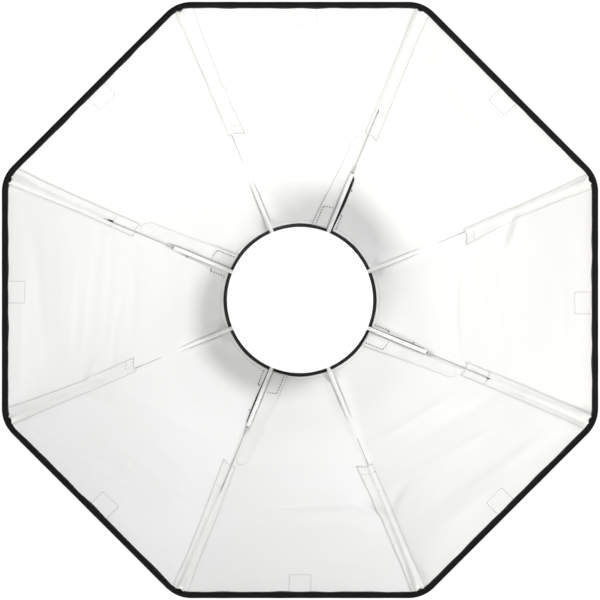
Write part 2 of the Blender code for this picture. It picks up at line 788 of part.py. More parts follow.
def make_deflector(collection):
    """A white disc with a rolled lip, on four posts that push into rubber grommets."""
    rear = DEFLECTOR_FRONT + DEFLECTOR_THICKNESS
    lip = DEFLECTOR_FRONT + DEFLECTOR_LIP
    radius = DEFLECTOR_RADIUS
    wall = DEFLECTOR_THICKNESS
    plate = [
        (0.0, DEFLECTOR_FRONT),
        (radius - DEFLECTOR_ROUND, DEFLECTOR_FRONT),
        (radius, DEFLECTOR_FRONT + DEFLECTOR_ROUND),
        (radius, lip),
        (radius - wall, lip),
        (radius - wall, rear),
        (0.0, rear),
    ]
    turned("deflector_plate", plate, collection, "white_plate", steps=ROUND_STEPS)
    length = RING_FRONT + GROMMET_DEPTH - 4 * GAP - rear
    post = [
        (0.0, 0.0),
        (POST_FOOT_RADIUS, 0.0),
        (POST_FOOT_RADIUS, POST_FOOT),
        (POST_RADIUS, POST_FOOT + POST_FOOT_TAPER),
        (POST_RADIUS, length - POST_NOSE),
        (POST_RADIUS - POST_NOSE, length),
        (0.0, length),
    ]
    post_data = turned_mesh("deflector_post", post)
    hole = POST_RADIUS + GAP
    grommet = [
        (hole, -GAP - GROMMET_FLANGE),
        (GROMMET_FLANGE_RADIUS, -GAP - GROMMET_FLANGE),
        (GROMMET_FLANGE_RADIUS, -GAP),
        (GROMMET_RADIUS, -GAP),
        (GROMMET_RADIUS, GROMMET_DEPTH),
        (hole, GROMMET_DEPTH),
    ]
    grommet_data = turned_mesh("post_grommet", grommet)
    for index in range(POSTS):
        azimuth = post_azimuth(index)
        matrix = Matrix.Translation(at_circle(azimuth, POST_CIRCLE, rear + GAP))
        name = f"deflector_post_{index + 1}"
        turn(place(name, post_data, collection, "bright_metal", matrix), SMALL_STEPS)
        matrix = Matrix.Translation(at_circle(azimuth, POST_CIRCLE, RING_FRONT))
        name = f"post_grommet_{index + 1}"
        turn(place(name, grommet_data, collection, "rubber", matrix), SMALL_STEPS)


def main():
    clear_scene()
    octabox = new_collection("octabox")
    helpers = new_collection("helpers")
    make_bayonet_insert(octabox, helpers)
    make_speed_ring(octabox, helpers)
    make_retainer(octabox, helpers)
    make_lock_screws(octabox, helpers)
    make_deflector(octabox)
    make_rods(octabox)
    make_ferrules(octabox, helpers)
    make_panels(octabox)
    make_sleeves(octabox, helpers)
    make_closure_flaps(octabox)
    make_front_binding(octabox)
    make_rear_collar(octabox)


main()
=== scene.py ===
"""The looks of the octabox: cloth, stitching, rods, ring and finishes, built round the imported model.

Metres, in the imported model's frame: the box faces -Y, and its axis is the Y axis. An azimuth is
measured about Y, from +X towards +Z. A place on the cloth is a seam's number, a share of the way
from the rear opening to the rim, a signed way round from the seam, and a lift towards the inside.
"""

import json
import math

import bmesh
import bpy
import numpy as np
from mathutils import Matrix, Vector

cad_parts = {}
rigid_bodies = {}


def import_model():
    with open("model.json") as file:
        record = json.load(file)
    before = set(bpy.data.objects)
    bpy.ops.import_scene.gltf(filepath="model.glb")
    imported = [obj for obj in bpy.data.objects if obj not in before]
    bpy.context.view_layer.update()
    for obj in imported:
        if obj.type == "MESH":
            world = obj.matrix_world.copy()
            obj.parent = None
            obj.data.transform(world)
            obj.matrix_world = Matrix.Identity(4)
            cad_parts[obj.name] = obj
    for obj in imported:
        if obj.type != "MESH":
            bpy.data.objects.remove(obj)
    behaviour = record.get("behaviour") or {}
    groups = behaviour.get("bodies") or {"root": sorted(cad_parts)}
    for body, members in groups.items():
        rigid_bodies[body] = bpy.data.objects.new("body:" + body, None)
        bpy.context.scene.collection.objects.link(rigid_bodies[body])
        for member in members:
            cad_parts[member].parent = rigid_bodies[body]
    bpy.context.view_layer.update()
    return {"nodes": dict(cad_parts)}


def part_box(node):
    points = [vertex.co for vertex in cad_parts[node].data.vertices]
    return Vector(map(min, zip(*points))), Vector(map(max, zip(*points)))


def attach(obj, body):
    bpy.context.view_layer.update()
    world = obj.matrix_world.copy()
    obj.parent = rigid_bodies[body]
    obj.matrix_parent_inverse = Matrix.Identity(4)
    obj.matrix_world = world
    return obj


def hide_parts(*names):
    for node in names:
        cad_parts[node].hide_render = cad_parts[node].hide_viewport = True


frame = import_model()

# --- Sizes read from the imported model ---

BINDING_LOW, BINDING_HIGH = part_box("front_binding")
RIM_HALF = BINDING_HIGH.x
BOX_DEPTH = -BINDING_LOW.y
NECK_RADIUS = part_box("rear_collar")[1].x
COLLAR_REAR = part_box("rear_collar")[1].y
COLLAR_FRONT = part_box("rear_collar")[0].y
PLATE_LOW, PLATE_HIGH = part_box("deflector_plate")
PLATE_RADIUS = PLATE_HIGH.x
PLATE_FRONT = PLATE_LOW.y

# --- The sewn cover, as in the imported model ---

SIDES = 8
HALF_TURN = math.pi / SIDES
RIM_CORNER = 0.034
REAR_RADIUS = 0.0835
REAR_DEPTH = 0.0285
SEAM_TURN = math.radians(40)
RIM_INSET = 0.0020  # from the binding's outer edge to the cloth's inner face
BINDING_WIDTH = 0.0062
SLIT_LENGTH = 0.068
ROD_RADIUS = 0.0012
ROD_STANDOFF = 0.0043
FERRULE_RADIUS = 0.0021
FERRULE_END_RADIUS = 0.1450
SOCKET_MOUTH_RADIUS = 0.0755
SOCKET_DEPTH = 0.020
SLEEVE_START_RADIUS = 0.188
SLOT_LENGTH = 0.030
FLAP_NEAR = 0.0042
FLAP_FAR = 0.0190
FLAP_START = 0.0040
FLAP_LENGTH = 0.1120

# Heights over the lining's inner face, from the outside in, and thicknesses
PAD_STITCH_LIFT = -0.0030
TAPE_STITCH_LIFT = -0.0024
PAD_LIFT = -0.0022
TAPE_LIFT = -0.0020
SHELL_LIFT = -0.0009
PATCH_STITCH_LIFT = 0.0001
HEM_LIFT = 0.0002
POCKET_PATCH_LIFT = 0.00035
SLIT_STITCH_LIFT = 0.0004
LOOP_LIFT = 0.00045
FLAP_LIFT = 0.0005
SLIT_HEM_LIFT = 0.00065
MOUTH_LIFT = 0.0007
HOOK_LIFT = 0.00105
TACK_LIFT = 0.0014
FLAP_STITCH_LIFT = 0.0023
THIN = 0.0003
LINING_THICK = 0.0004
SHELL_THICK = 0.0005
TAPE_THICK = 0.0006
PAD_THICK = 0.0011


# --- The cloth's surface ---


def seam_circle():
    """The circle that a seam follows in (radius, y): its centre, its radius and its first angle."""
    corner_loss = RIM_CORNER * (1 / math.cos(HALF_TURN) - 1)
    start = np.array((REAR_RADIUS, -REAR_DEPTH))
    end = np.array(((RIM_HALF - RIM_INSET) / math.cos(HALF_TURN) - corner_loss, -BOX_DEPTH))
    chord = end - start
    length = np.linalg.norm(chord)
    radius = length / 2 / math.sin(SEAM_TURN / 2)
    inwards = np.array((chord[1], -chord[0])) / length
    centre = (start + end) / 2 + inwards * radius * math.cos(SEAM_TURN / 2)
    return centre, radius, math.atan2(start[0] - centre[0], start[1] - centre[1])


SEAM_CENTRE, SEAM_RADIUS, SEAM_FIRST = seam_circle()
SEAM_LENGTH = SEAM_RADIUS * SEAM_TURN


def share_of(length):
    return length / SEAM_LENGTH


def seam_profile(share, standoff=0.0):
    """(radius, y) of a seam, a distance in front of the cloth."""
    angle = SEAM_FIRST + SEAM_TURN * share
    reach = SEAM_RADIUS - standoff
    return SEAM_CENTRE[0] + reach * np.sin(angle), SEAM_CENTRE[1] + reach * np.cos(angle)


def share_at(radius):
    """The share where a rod's middle line is at a radius."""
    reach = SEAM_RADIUS - ROD_STANDOFF
    return (math.asin((radius - SEAM_CENTRE[0]) / reach) - SEAM_FIRST) / SEAM_TURN


def corner_radius(share):
    rear = np.clip(1 - share, 0, None) ** 6
    return RIM_CORNER * np.clip(share, 0, None) ** 3 + REAR_RADIUS * rear


def half_panel(share):
    """The way round the section from a seam to the middle of a panel."""
    radius, _ = seam_profile(share)
    corner = corner_radius(share)
    apothem = radius * math.cos(HALF_TURN) + corner * (1 - math.cos(HALF_TURN))
    return corner * HALF_TURN + (apothem - corner) * math.tan(HALF_TURN)


def plain_surface(share, across):
    """The taut cover near the seam at azimuth 0."""
    radius, y = seam_profile(share)
    corner = corner_radius(share)
    side = np.where(across >= 0, 1.0, -1.0)
    angle = np.minimum(np.abs(across) / corner, HALF_TURN)
    past = np.maximum(np.abs(across) - corner * HALF_TURN, 0.0)
    x = radius - corner + corner * np.cos(angle) - past * math.sin(HALF_TURN)
    z = side * (corner * np.sin(angle) + past * math.cos(HALF_TURN))
    return np.stack([x, y + 0 * x, z], axis=-1)


def plain_normal(share, across):
    """The inward normal of the taut cover."""
    step = 0.001
    forwards = plain_surface(share + step, across) - plain_surface(share - step, across)
    round_it = plain_surface(share, across + step) - plain_surface(share, across - step)
    normal = np.cross(forwards, round_it)
    return normal / np.linalg.norm(normal, axis=-1, keepdims=True)


def spin(points, azimuth):
    """Turns points at azimuth 0 to another azimuth."""
    c, s = np.cos(azimuth), np.sin(azimuth)
    x, y, z = points[..., 0], points[..., 1], points[..., 2]
    return np.stack([c * x - s * z, y, s * x + c * z], axis=-1)


def seam_azimuth(index):
    return (2 * index + 1) * HALF_TURN


def has_slit(index):
    return index % 2 == 1


SLIT_SEAMS = tuple(filter(has_slit, range(SIDES)))


def flap_side(index):
    return 1 if index % 4 == 1 else -1


# The folds in the cloth, a row for each panel: how many, their height, their tilt. Panel 0 lies
# above azimuth 22.5 degrees, and panel 3 is the one on the left.
PANEL_FOLDS = [
    (7, 0.0011, 0.06),
    (6, 0.0012, 0.00),
    (6, 0.0013, -0.06),
    (12, 0.0018, 0.05),
    (10, 0.0018, -0.12),
    (7, 0.0013, 0.00),
    (9, 0.0012, 0.14),
    (8, 0.0011, -0.05),
]
BILLOW = 0.0030  # how far the middle of a panel stands in
DENT_RADIUS = 0.236  # how far the dents beside the sleeves are from the axis
DENT_DEPTHS = (0.0028, 0.0046)
DENT_LENGTH, DENT_WIDTH, DENT_AWAY = 0.009, 0.011, 0.016  # away is from the seam
BULGE_WIDTH, BULGE_AWAY = 0.014, 0.018  # the raised cloth beyond each dent
PULL = 0.0027  # how far the seams stand off their taut shape
PULL_RISE = (0.028, 0.075)  # from the rear opening
PULL_FALL = (0.050, 0.012)  # from the rim

# How high the lining's ridges are, and the pairs of radii where they rise and fall
OVER_ROD = 0.00272
OVER_FERRULE = 0.0040
BESIDE_FERRULE = 0.0030
BESIDE_ROD = 0.0027
PATCH_CLOTH = 0.0005
SLIT_RIDGE_RISE, SLIT_RIDGE_FALL = (0.146, 0.156), (0.214, 0.228)
SLIT_RIDGE_WIDTH = 0.0032
WHOLE_RIDGE_RISE, WHOLE_RIDGE_FALL = (0.122, FERRULE_END_RADIUS), (0.190, 0.214)
FERRULE_TO_ROD = (FERRULE_END_RADIUS, 0.160)
WIDE_TO_NARROW = (0.150, SLEEVE_START_RADIUS)
RIDGE_WIDE, RIDGE_NARROW = 0.0060, 0.0036
LIP_RISE, LIP_FALL = (0.084, 0.096), (0.124, 0.142)
LIP_START, LIP_TOP, LIP_WIDTH = 0.0021, 0.0031, 0.0065  # across the seam, beside a ferrule


def make_folds():
    rng = np.random.default_rng(41)
    folds = []
    for count, height, tilt in PANEL_FOLDS:
        own = []
        for number in range(count):
            own.append(
                {
                    "at": 0.34 + 0.60 * (number + rng.uniform(0.1, 0.9)) / count,
                    "tilt": tilt + rng.normal(0, 0.05),
                    "bow": rng.normal(0, 0.06),
                    "width": rng.choice([0.004, 0.007, 0.011, 0.016]) * rng.uniform(0.8, 1.25),
                    "height": height * rng.uniform(0.45, 1.0) * rng.choice([-1, 1]),
                    "centre": rng.uniform(0.30, 0.70),
                    "reach": rng.uniform(0.16, 0.42),
                }
            )
        folds.append(own)
    return folds


FOLDS = make_folds()


def swell(share, pitch, phase=0.0):
    """A sine wave along a seam."""
    return np.sin(share * SEAM_LENGTH * 2 * math.pi / pitch + phase)


def smooth(value, low, high):
    """Rises from 0 at low to 1 at high."""
    t = np.clip((value - low) / (high - low), 0, 1)
    return t * t * (3 - 2 * t)


def bell(off, width):
    """Falls from 1 on a line to nearly 0 two widths off it."""
    return np.exp(-((off / width) ** 2))


def pull(share):
    """How far the cloth stands off its taut shape between the ring and the rim."""
    length = share * SEAM_LENGTH
    rise = smooth(length, *PULL_RISE)
    fall = smooth(length, SEAM_LENGTH - PULL_FALL[0], SEAM_LENGTH - PULL_FALL[1])
    return PULL * (rise - fall)


def ridge(seam, share, across):
    """How far the lining rises round a rod: over it at the whole seams, beside it at the slit ones."""
    radius = seam_profile(share, ROD_STANDOFF)[0]
    if has_slit(seam):
        height = BESIDE_ROD * smooth(radius, *SLIT_RIDGE_RISE)
        height -= PATCH_CLOTH * smooth(radius, SLEEVE_START_RADIUS - 0.005, SLEEVE_START_RADIUS)
        height *= 1 - smooth(radius, *SLIT_RIDGE_FALL)
        return height * bell(across, SLIT_RIDGE_WIDTH)
    height = OVER_FERRULE * smooth(radius, *WHOLE_RIDGE_RISE)
    height -= (OVER_FERRULE - OVER_ROD) * smooth(radius, *FERRULE_TO_ROD)
    height *= 1 - smooth(radius, *WHOLE_RIDGE_FALL)
    width = RIDGE_WIDE - (RIDGE_WIDE - RIDGE_NARROW) * smooth(radius, *WIDE_TO_NARROW)
    beside = BESIDE_FERRULE * smooth(radius, *LIP_RISE) * (1 - smooth(radius, *LIP_FALL))
    off = np.abs(across)
    lip = smooth(off, LIP_START, LIP_TOP) * bell(np.maximum(off - LIP_TOP, 0), LIP_WIDTH)
    return height * bell(across, width) + beside * lip


def relief(panel, over, share):
    """How far the cloth of a panel stands inwards of its taut shape. over runs from 0 to 1."""
    hold = 1 - (2 * over - 1) ** 2
    total = pull(share) + BILLOW * hold * np.sin(np.pi * np.clip(share, 0, 1)) ** 0.8
    width = 2 * half_panel(share)
    for fold in FOLDS[panel]:
        sideways = over - fold["centre"]
        line = fold["at"] + fold["tilt"] * sideways + fold["bow"] * sideways**2
        off = (share - line) * SEAM_LENGTH
        window = np.exp(-((sideways / fold["reach"]) ** 4)) * np.clip(hold * 3, 0, 1)
        total = total + fold["height"] * bell(off, fold["width"]) * window
    dent_at = share_at(DENT_RADIUS)
    for edge, seam in ((0.0, panel), (1.0, (panel + 1) % SIDES)):
        if has_slit(seam):
            continue
        away = np.abs(over - edge) * width
        along = (share - dent_at) * SEAM_LENGTH
        deep = DENT_DEPTHS[(seam + panel) % 2]
        lean = (along + 0.35 * away) / DENT_LENGTH
        dent = bell(lean, 1) * bell(away - DENT_AWAY, DENT_WIDTH)
        bulge = 0.5 * bell(lean - 1.6, 1) * bell(away - BULGE_AWAY, BULGE_WIDTH)
        total = total - deep * dent + deep * bulge
    return total


def on_cloth(seam, share, across, lift=0.0):
    """Points at a lift over the cloth's inner face."""
    share, across = np.broadcast_arrays(np.asarray(share, float), np.asarray(across, float))
    full = 2 * half_panel(share)
    right = relief(seam, np.clip(across / full, 0, 1), share)
    left = relief((seam - 1) % SIDES, np.clip(1 + across / full, 0, 1), share)
    height = np.where(across >= 0, right, left) + lift
    points = plain_surface(share, across)
    points = points + height[..., None] * plain_normal(share, across)
    return spin(points, seam_azimuth(seam))


def cloth_normal(seam, share, across):
    return spin(plain_normal(share, across), seam_azimuth(seam))


# --- Materials ---


def shade(colour, factor):
    return tuple(factor * c for c in colour)


class Finish:
    """A Principled material with helpers for the node chains that detail it."""

    def __init__(self, name, colour, roughness, metallic=0.0, **sockets):
        self.material = bpy.data.materials.new(name)
        self.material.use_nodes = True
        self.tree = self.material.node_tree
        self.shader = self.tree.nodes["Principled BSDF"]
        self.shader.inputs["Base Color"].default_value = (*colour, 1.0)
        self.shader.inputs["Roughness"].default_value = roughness
        self.shader.inputs["Metallic"].default_value = metallic
        for socket, value in sockets.items():
            self.shader.inputs[socket.replace("_", " ")].default_value = value
        self.colour = colour
        self.coordinates = self.tree.nodes.new("ShaderNodeTexCoord")
        self.material.diffuse_color = (*colour, 1.0)

    def node(self, kind, **values):
        """A node, with values for its sockets and settings."""
        made = self.tree.nodes.new(kind)
        for name, value in values.items():
            socket = name.replace("_", " ")
            if socket in made.inputs:
                made.inputs[socket].default_value = value
            else:
                setattr(made, name, value)
        return made

    def link(self, output, to):
        self.tree.links.new(output, to)

    def place(self, source, scale):
        """The named texture coordinates, scaled."""
        mapping = self.node("ShaderNodeMapping", Scale=scale)
        self.link(self.coordinates.outputs[source], mapping.inputs["Vector"])
        return mapping.outputs["Vector"]

    def noise(self, scale, detail=3.0, source="Object", stretch=(1, 1, 1)):
        texture = self.node("ShaderNodeTexNoise", Scale=scale, Detail=detail)
        self.link(self.place(source, stretch), texture.inputs["Vector"])
        return texture.outputs["Fac"]

    def wave(self, direction, pitch):
        """Bands across one direction of the UV map, a pitch apart."""
        scale = 2 * math.pi / 20 / pitch
        texture = self.node("ShaderNodeTexWave", bands_direction=direction, Scale=scale)
        self.link(self.place("UV", (1, 1, 1)), texture.inputs["Vector"])
        return texture.outputs["Fac"]

    def math(self, operation, a, b):
        made = self.node("ShaderNodeMath", operation=operation)
        for socket, value in zip(made.inputs, (a, b)):
            if isinstance(value, (int, float)):
                socket.default_value = value
            else:
                self.link(value, socket)
        return made.outputs["Value"]

    def spread(self, value, low, high, to_low=0.0, to_high=1.0):
        ends = {"From_Min": low, "From_Max": high, "To_Min": to_low, "To_Max": to_high}
        made = self.node("ShaderNodeMapRange", **ends)
        self.link(value, made.inputs["Value"])
        return made.outputs["Result"]

    def tint(self, value, other):
        """Mixes the colour towards another where value is 1."""
        mix = self.node("ShaderNodeMix", data_type="RGBA")
        before = self.shader.inputs["Base Color"]
        if before.is_linked:
            self.link(before.links[0].from_socket, mix.inputs["A"])
        else:
            mix.inputs["A"].default_value = (*self.colour, 1.0)
        mix.inputs["B"].default_value = (*other, 1.0)
        self.link(value, mix.inputs["Factor"])
        self.link(mix.outputs["Result"], before)
        return self

    def mottle(self, scale, detail, low, high, other, most=1.0, source="Object"):
        """Tints the colour where a noise is high."""
        noise = self.noise(scale, detail, source)
        return self.tint(self.spread(noise, low, high, 0, most), other)

    def uneven(self, scale, detail, low, high):
        """Roughness between two values, from a noise."""
        value = self.spread(self.noise(scale, detail), 0.3, 0.7, low, high)
        self.link(value, self.shader.inputs["Roughness"])
        return self

    def grain(self, scale, detail, height, strength):
        return self.bump(self.noise(scale, detail), height, strength)

    def bump(self, value, height, strength):
        made = self.node("ShaderNodeBump", Distance=height, Strength=strength)
        before = self.shader.inputs["Normal"]
        if before.is_linked:
            self.link(before.links[0].from_socket, made.inputs["Normal"])
        self.link(value, made.inputs["Height"])
        self.link(made.outputs["Normal"], before)
        return self

    def weave(self, pitch, height, strength):
        """Warp and weft, from the cloth's own UV map in metres."""
        warp = self.wave("X", pitch)
        weft = self.wave("Y", pitch * 0.9)
        return self.bump(self.math("MAXIMUM", warp, weft), height, strength)


def white_lining():
    made = Finish("white_lining", (0.885, 0.882, 0.870), 0.58, Sheen_Weight=0.25)
    made.mottle(9, 2, 0.40, 0.72, (0.905, 0.905, 0.900))
    made.mottle(420, 2, 0.45, 0.80, (0.85, 0.845, 0.83), 0.45, "UV")
    made.uneven(55, 3, 0.50, 0.66)
    made.grain(60, 4, 0.0006, 0.45)
    return made.weave(0.00042, 0.00006, 0.55).material


def sleeve_cloth():
    made = Finish("sleeve_cloth", (0.875, 0.872, 0.858), 0.55, Sheen_Weight=0.25)
    made.mottle(60, 3, 0.42, 0.75, (0.835, 0.83, 0.815), 0.8)
    made.uneven(90, 3, 0.46, 0.64)
    made.grain(140, 4, 0.0005, 0.5)
    return made.weave(0.00055, 0.00009, 0.6).material


def black_shell():
    made = Finish("black_shell", (0.018, 0.018, 0.019), 0.62, Sheen_Weight=0.35)
    made.mottle(14, 4, 0.40, 0.75, (0.030, 0.030, 0.031), 0.8)
    made.mottle(900, 2, 0.5, 0.85, (0.045, 0.045, 0.046), 0.5, "UV")
    made.uneven(40, 3, 0.54, 0.72)
    made.grain(45, 4, 0.0010, 0.5)
    return made.weave(0.00080, 0.00018, 0.7).material


def webbing(name="black_webbing", colour=(0.020, 0.020, 0.020)):
    made = Finish(name, colour, 0.70, Sheen_Weight=0.3)
    # The rib crests are painted lighter, in step with the bump below: a painted highlight on the ribs.
    light = tuple(2.1 * c + 0.006 for c in colour)
    made.tint(made.spread(made.wave("X", 0.0011), 0.55, 1.0, 0, 0.6), light)
    made.bump(made.wave("X", 0.0011), 0.00022, 0.8)
    made.grain(900, 3, 0.00010, 0.4)
    return made.uneven(120, 2, 0.60, 0.80).material


def binding_tape():
    made = Finish("rim_tape", (0.0050, 0.0050, 0.0052), 0.85, Specular_IOR_Level=0.15)
    # The rib crests are painted lighter, in step with the bump below: a painted highlight on the ribs.
    made.tint(made.spread(made.wave("X", 0.0012), 0.6, 1.0, 0, 0.5), (0.010, 0.010, 0.010))
    made.mottle(130, 3, 0.55, 0.8, (0.013, 0.013, 0.013), 0.6)
    made.bump(made.wave("X", 0.0012), 0.00016, 0.7)
    return made.uneven(160, 2, 0.78, 0.92).material


def hook_and_loop(name, colour):
    made = Finish(name, colour, 0.85, Sheen_Weight=0.5)
    made.mottle(1500, 4, 0.45, 0.75, shade(colour, 0.72))
    made.grain(2200, 5, 0.0006, 0.9)
    return made.material


def thread(name, colour):
    made = Finish(name, colour, 0.60, Sheen_Weight=0.3)
    made.tint(made.noise(1800, 2), shade(colour, 0.75))
    return made.grain(2600, 2, 0.00012, 0.6).material


def fibre_rod():
    made = Finish("fibre_rod", (0.50, 0.50, 0.49), 0.34, Coat_Weight=0.2, Coat_Roughness=0.2)
    grain = made.noise(160, 4, "UV", (12, 0.25, 1))
    made.tint(made.spread(grain, 0.40, 0.75), (0.40, 0.40, 0.39))
    made.bump(grain, 0.00006, 0.5)
    return made.uneven(70, 3, 0.24, 0.42).material


def ferrule_paint():
    made = Finish("ferrule_paint", (0.90, 0.90, 0.89), 0.32, Coat_Weight=0.4, Coat_Roughness=0.2)
    made.mottle(260, 5, 0.66, 0.78, (0.52, 0.52, 0.53))
    made.grain(700, 3, 0.00005, 0.5)
    return made.uneven(110, 3, 0.24, 0.44).material


def cast_black():
    made = Finish("cast_black", (0.010, 0.010, 0.011), 0.50, Specular_IOR_Level=0.35)
    made.mottle(350, 5, 0.62, 0.80, (0.028, 0.028, 0.029))
    made.grain(1400, 4, 0.00014, 0.6)
    return made.uneven(60, 4, 0.34, 0.58).material


def turned_metal(name, colour, roughness):
    """Bright metal with fine rings about the box's axis, left by the tool."""
    made = Finish(name, colour, roughness, 1.0)
    radius = made.node("ShaderNodeVectorMath", operation="LENGTH")
    made.link(made.place("Object", (1, 0, 1)), radius.inputs[0])
    rings = made.math("SINE", made.math("MULTIPLY", radius.outputs["Value"], 9000.0), 0.0)
    made.bump(rings, 0.000006, 0.4)
    made.mottle(240, 3, 0.50, 0.80, shade(colour, 0.85), 0.5)
    return made.uneven(300, 3, roughness - 0.03, roughness + 0.08).material


def white_enamel():
    made = Finish("white_enamel", (0.93, 0.93, 0.925), 0.38, Coat_Weight=0.25, Coat_Roughness=0.3)
    made.mottle(22, 3, 0.45, 0.75, (0.915, 0.914, 0.905), 0.7)
    made.grain(700, 3, 0.00004, 0.35)
    return made.uneven(40, 3, 0.33, 0.45).material


def moulded(name, colour, roughness, grain=900):
    made = Finish(name, colour, roughness)
    made.mottle(220, 4, 0.5, 0.8, shade(colour, 1.8), 0.8)
    made.grain(grain, 4, 0.00012, 0.55)
    return made.uneven(90, 3, roughness - 0.08, roughness + 0.12).material


LINING = white_lining()
SLEEVE = sleeve_cloth()
SHELL = black_shell()
WEBBING = webbing()
BINDING = binding_tape()
ELASTIC = webbing("grey_elastic", (0.045, 0.045, 0.046))
BLACK_LOOP = hook_and_loop("black_loop", (0.022, 0.022, 0.022))
WHITE_LOOP = hook_and_loop("white_loop", (0.80, 0.80, 0.78))
# Dark grey thread for the stitches on the white cloth: painted shade of the needle holes and of the thread
# sunk in them.
HOLE_SHADE_THREAD = thread("hole_shade_thread", (0.19, 0.19, 0.195))
# Near-black thread for the flap and slit stitches on the white cloth: painted shade of the needle holes.
DARK_HOLE_SHADE_THREAD = thread("dark_hole_shade_thread", (0.06, 0.06, 0.065))
BLACK_THREAD = thread("black_thread", (0.050, 0.050, 0.050))
ROD = fibre_rod()
FERRULE = ferrule_paint()
CAST = cast_black()
BRIGHT = turned_metal("turned_aluminium", (0.78, 0.78, 0.79), 0.24)
STEEL = turned_metal("steel", (0.62, 0.62, 0.63), 0.30)
ENAMEL = white_enamel()
KNOB = moulded("knob_plastic", (0.025, 0.025, 0.025), 0.48)
RUBBER = moulded("grommet_rubber", (0.020, 0.020, 0.020), 0.72, 1600)
SHRINK = moulded("shrink_tube", (0.110, 0.110, 0.112), 0.42, 1200)


# --- Mesh helpers ---


def add_piece(name, mesh, material, body, replaces=()):
    """Links a mesh as a piece that rides on a body."""
    mesh.materials.append(material)
    piece = bpy.data.objects.new(name, mesh)
    bpy.context.scene.collection.objects.link(piece)
    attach(piece, body)
    if replaces:
        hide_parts(*replaces)
    return piece


def mesh_of(name, points, faces, uv=None):
    """A smooth mesh. uv, if given, is one pair for each point."""
    mesh = bpy.data.meshes.new(name)
    mesh.from_pydata(points.reshape(-1, 3), [], faces)
    if uv is not None:
        layer = mesh.uv_layers.new(name="UVMap")
        loops = np.zeros(len(mesh.loops), np.int32)
        mesh.loops.foreach_get("vertex_index", loops)
        layer.data.foreach_set("uv", uv.reshape(-1, 2)[loops].astype(np.float32).ravel())
    mesh.shade_smooth()
    return mesh


def grid_faces(rows, columns, closed_rows=False, closed_columns=False):
    r = np.arange(rows if closed_rows else rows - 1)
    c = np.arange(columns if closed_columns else columns - 1)
    r, c = (a.ravel() for a in np.meshgrid(r, c, indexing="ij"))
    r2 = (r + 1) % rows
    c2 = (c + 1) % columns
    return np.stack(
        [r * columns + c, r * columns + c2, r2 * columns + c2, r2 * columns + c], axis=-1
    )


def capped_faces(rows, sides):
    """The faces of a closed tube of rings."""
    ring = list(range(sides))
    last = (rows - 1) * sides
    sleeve = grid_faces(rows, sides, closed_columns=True).tolist()
    return sleeve + [ring[::-1], [last + i for i in ring]]


def lengths_along(path):
    """How far each point of a path is from its start, along it."""
    steps = np.linalg.norm(np.diff(path, axis=0), axis=-1)
    return np.concatenate([[0], np.cumsum(steps)])


def metre_uv(points):
    """UV in metres along a grid's two directions, measured along its middle lines."""
    rows, columns = points.shape[:2]
    across, along = lengths_along(points[rows // 2]), lengths_along(points[:, columns // 2])
    return np.stack(np.meshgrid(across, along), axis=-1)


def strip(name, points):
    """A sheet through a grid of points."""
    rows, columns = points.shape[:2]
    return mesh_of(name, points, grid_faces(rows, columns), metre_uv(points))


def thicken(piece, thickness, offset=0.0):
    solid = piece.modifiers.new("Thickness", "SOLIDIFY")
    solid.thickness = thickness
    solid.offset = offset
    solid.use_even_offset = True
    return piece


WELD_DISTANCE = 0.00002


def add_cloth(name, points, material, thickness, slot="white_cloth", body="box", replaces=()):
    """A piece of cloth through a grid of points."""
    piece = add_piece(name, strip(name, points), material, body, replaces)
    return thicken(piece, thickness)


def weld(mesh):
    """Joins the points that lie together."""
    shape = bmesh.new()
    shape.from_mesh(mesh)
    bmesh.ops.remove_doubles(shape, verts=shape.verts, dist=WELD_DISTANCE)
    shape.to_mesh(mesh)
    shape.free()
    mesh.shade_smooth()


def lathe(name, profile, steps, ripple=None):
    """Turns a closed profile of (radius, y) points about the box's axis.

    A profile that starts on the axis ends on it too, and stays open there.
    """
    on_axis = profile[0][0] == 0
    profile = np.array(profile, float)
    angle = np.linspace(0, 2 * math.pi, steps, endpoint=False)
    radius = profile[:, 0][:, None] + 0 * angle[None, :]
    if ripple is not None:
        radius = radius + ripple(angle)[None, :]
    y = profile[:, 1][:, None] + 0 * angle[None, :]
    points = np.stack([radius * np.cos(angle), y, radius * np.sin(angle)], axis=-1)
    faces = grid_faces(len(profile), steps, closed_rows=not on_axis, closed_columns=True)
    uv = np.stack(np.meshgrid(angle * profile[:, 0].mean(), lengths_along(profile)), axis=-1)
    mesh = mesh_of(name, points, faces, uv)
    if on_axis:
        weld(mesh)
    return mesh


def rounded(corners, radius, steps):
    """A closed profile with each of its corners rounded."""
    corners = [np.array(c, float) for c in corners]
    points = []
    for before, here, after in zip(corners[-1:] + corners[:-1], corners, corners[1:] + corners[:1]):
        to_before = before - here
        to_after = after - here
        reach = min(radius, 0.45 * np.linalg.norm(to_before), 0.45 * np.linalg.norm(to_after))
        a = here + reach * to_before / np.linalg.norm(to_before)
        b = here + reach * to_after / np.linalg.norm(to_after)
        for i in range(steps + 1):
            t = i / steps
            points.append((1 - t) ** 2 * a + 2 * t * (1 - t) * here + t**2 * b)
    return points


TUBE_SIDES = 20


def tube(name, path, radii):
    """A round bar through points, with a radius at each."""
    path = np.array(path, float)
    tangent = np.gradient(path, axis=0)
    tangent /= np.linalg.norm(tangent, axis=1, keepdims=True)
    side = np.cross(tangent, np.array((0.0, 1.0, 0.0)))
    side /= np.linalg.norm(side, axis=1, keepdims=True)
    up = np.cross(side, tangent)
    angle = np.linspace(0, 2 * math.pi, TUBE_SIDES, endpoint=False)
    ring = np.cos(angle)[None, :, None] * side[:, None] + np.sin(angle)[None, :, None] * up[:, None]
    points = path[:, None] + ring * np.array(radii, float)[:, None, None]
    uv = np.stack(np.meshgrid(angle * np.mean(radii), lengths_along(path)), axis=-1)
    return mesh_of(name, points, capped_faces(len(path), TUBE_SIDES), uv)


# --- Stitches ---


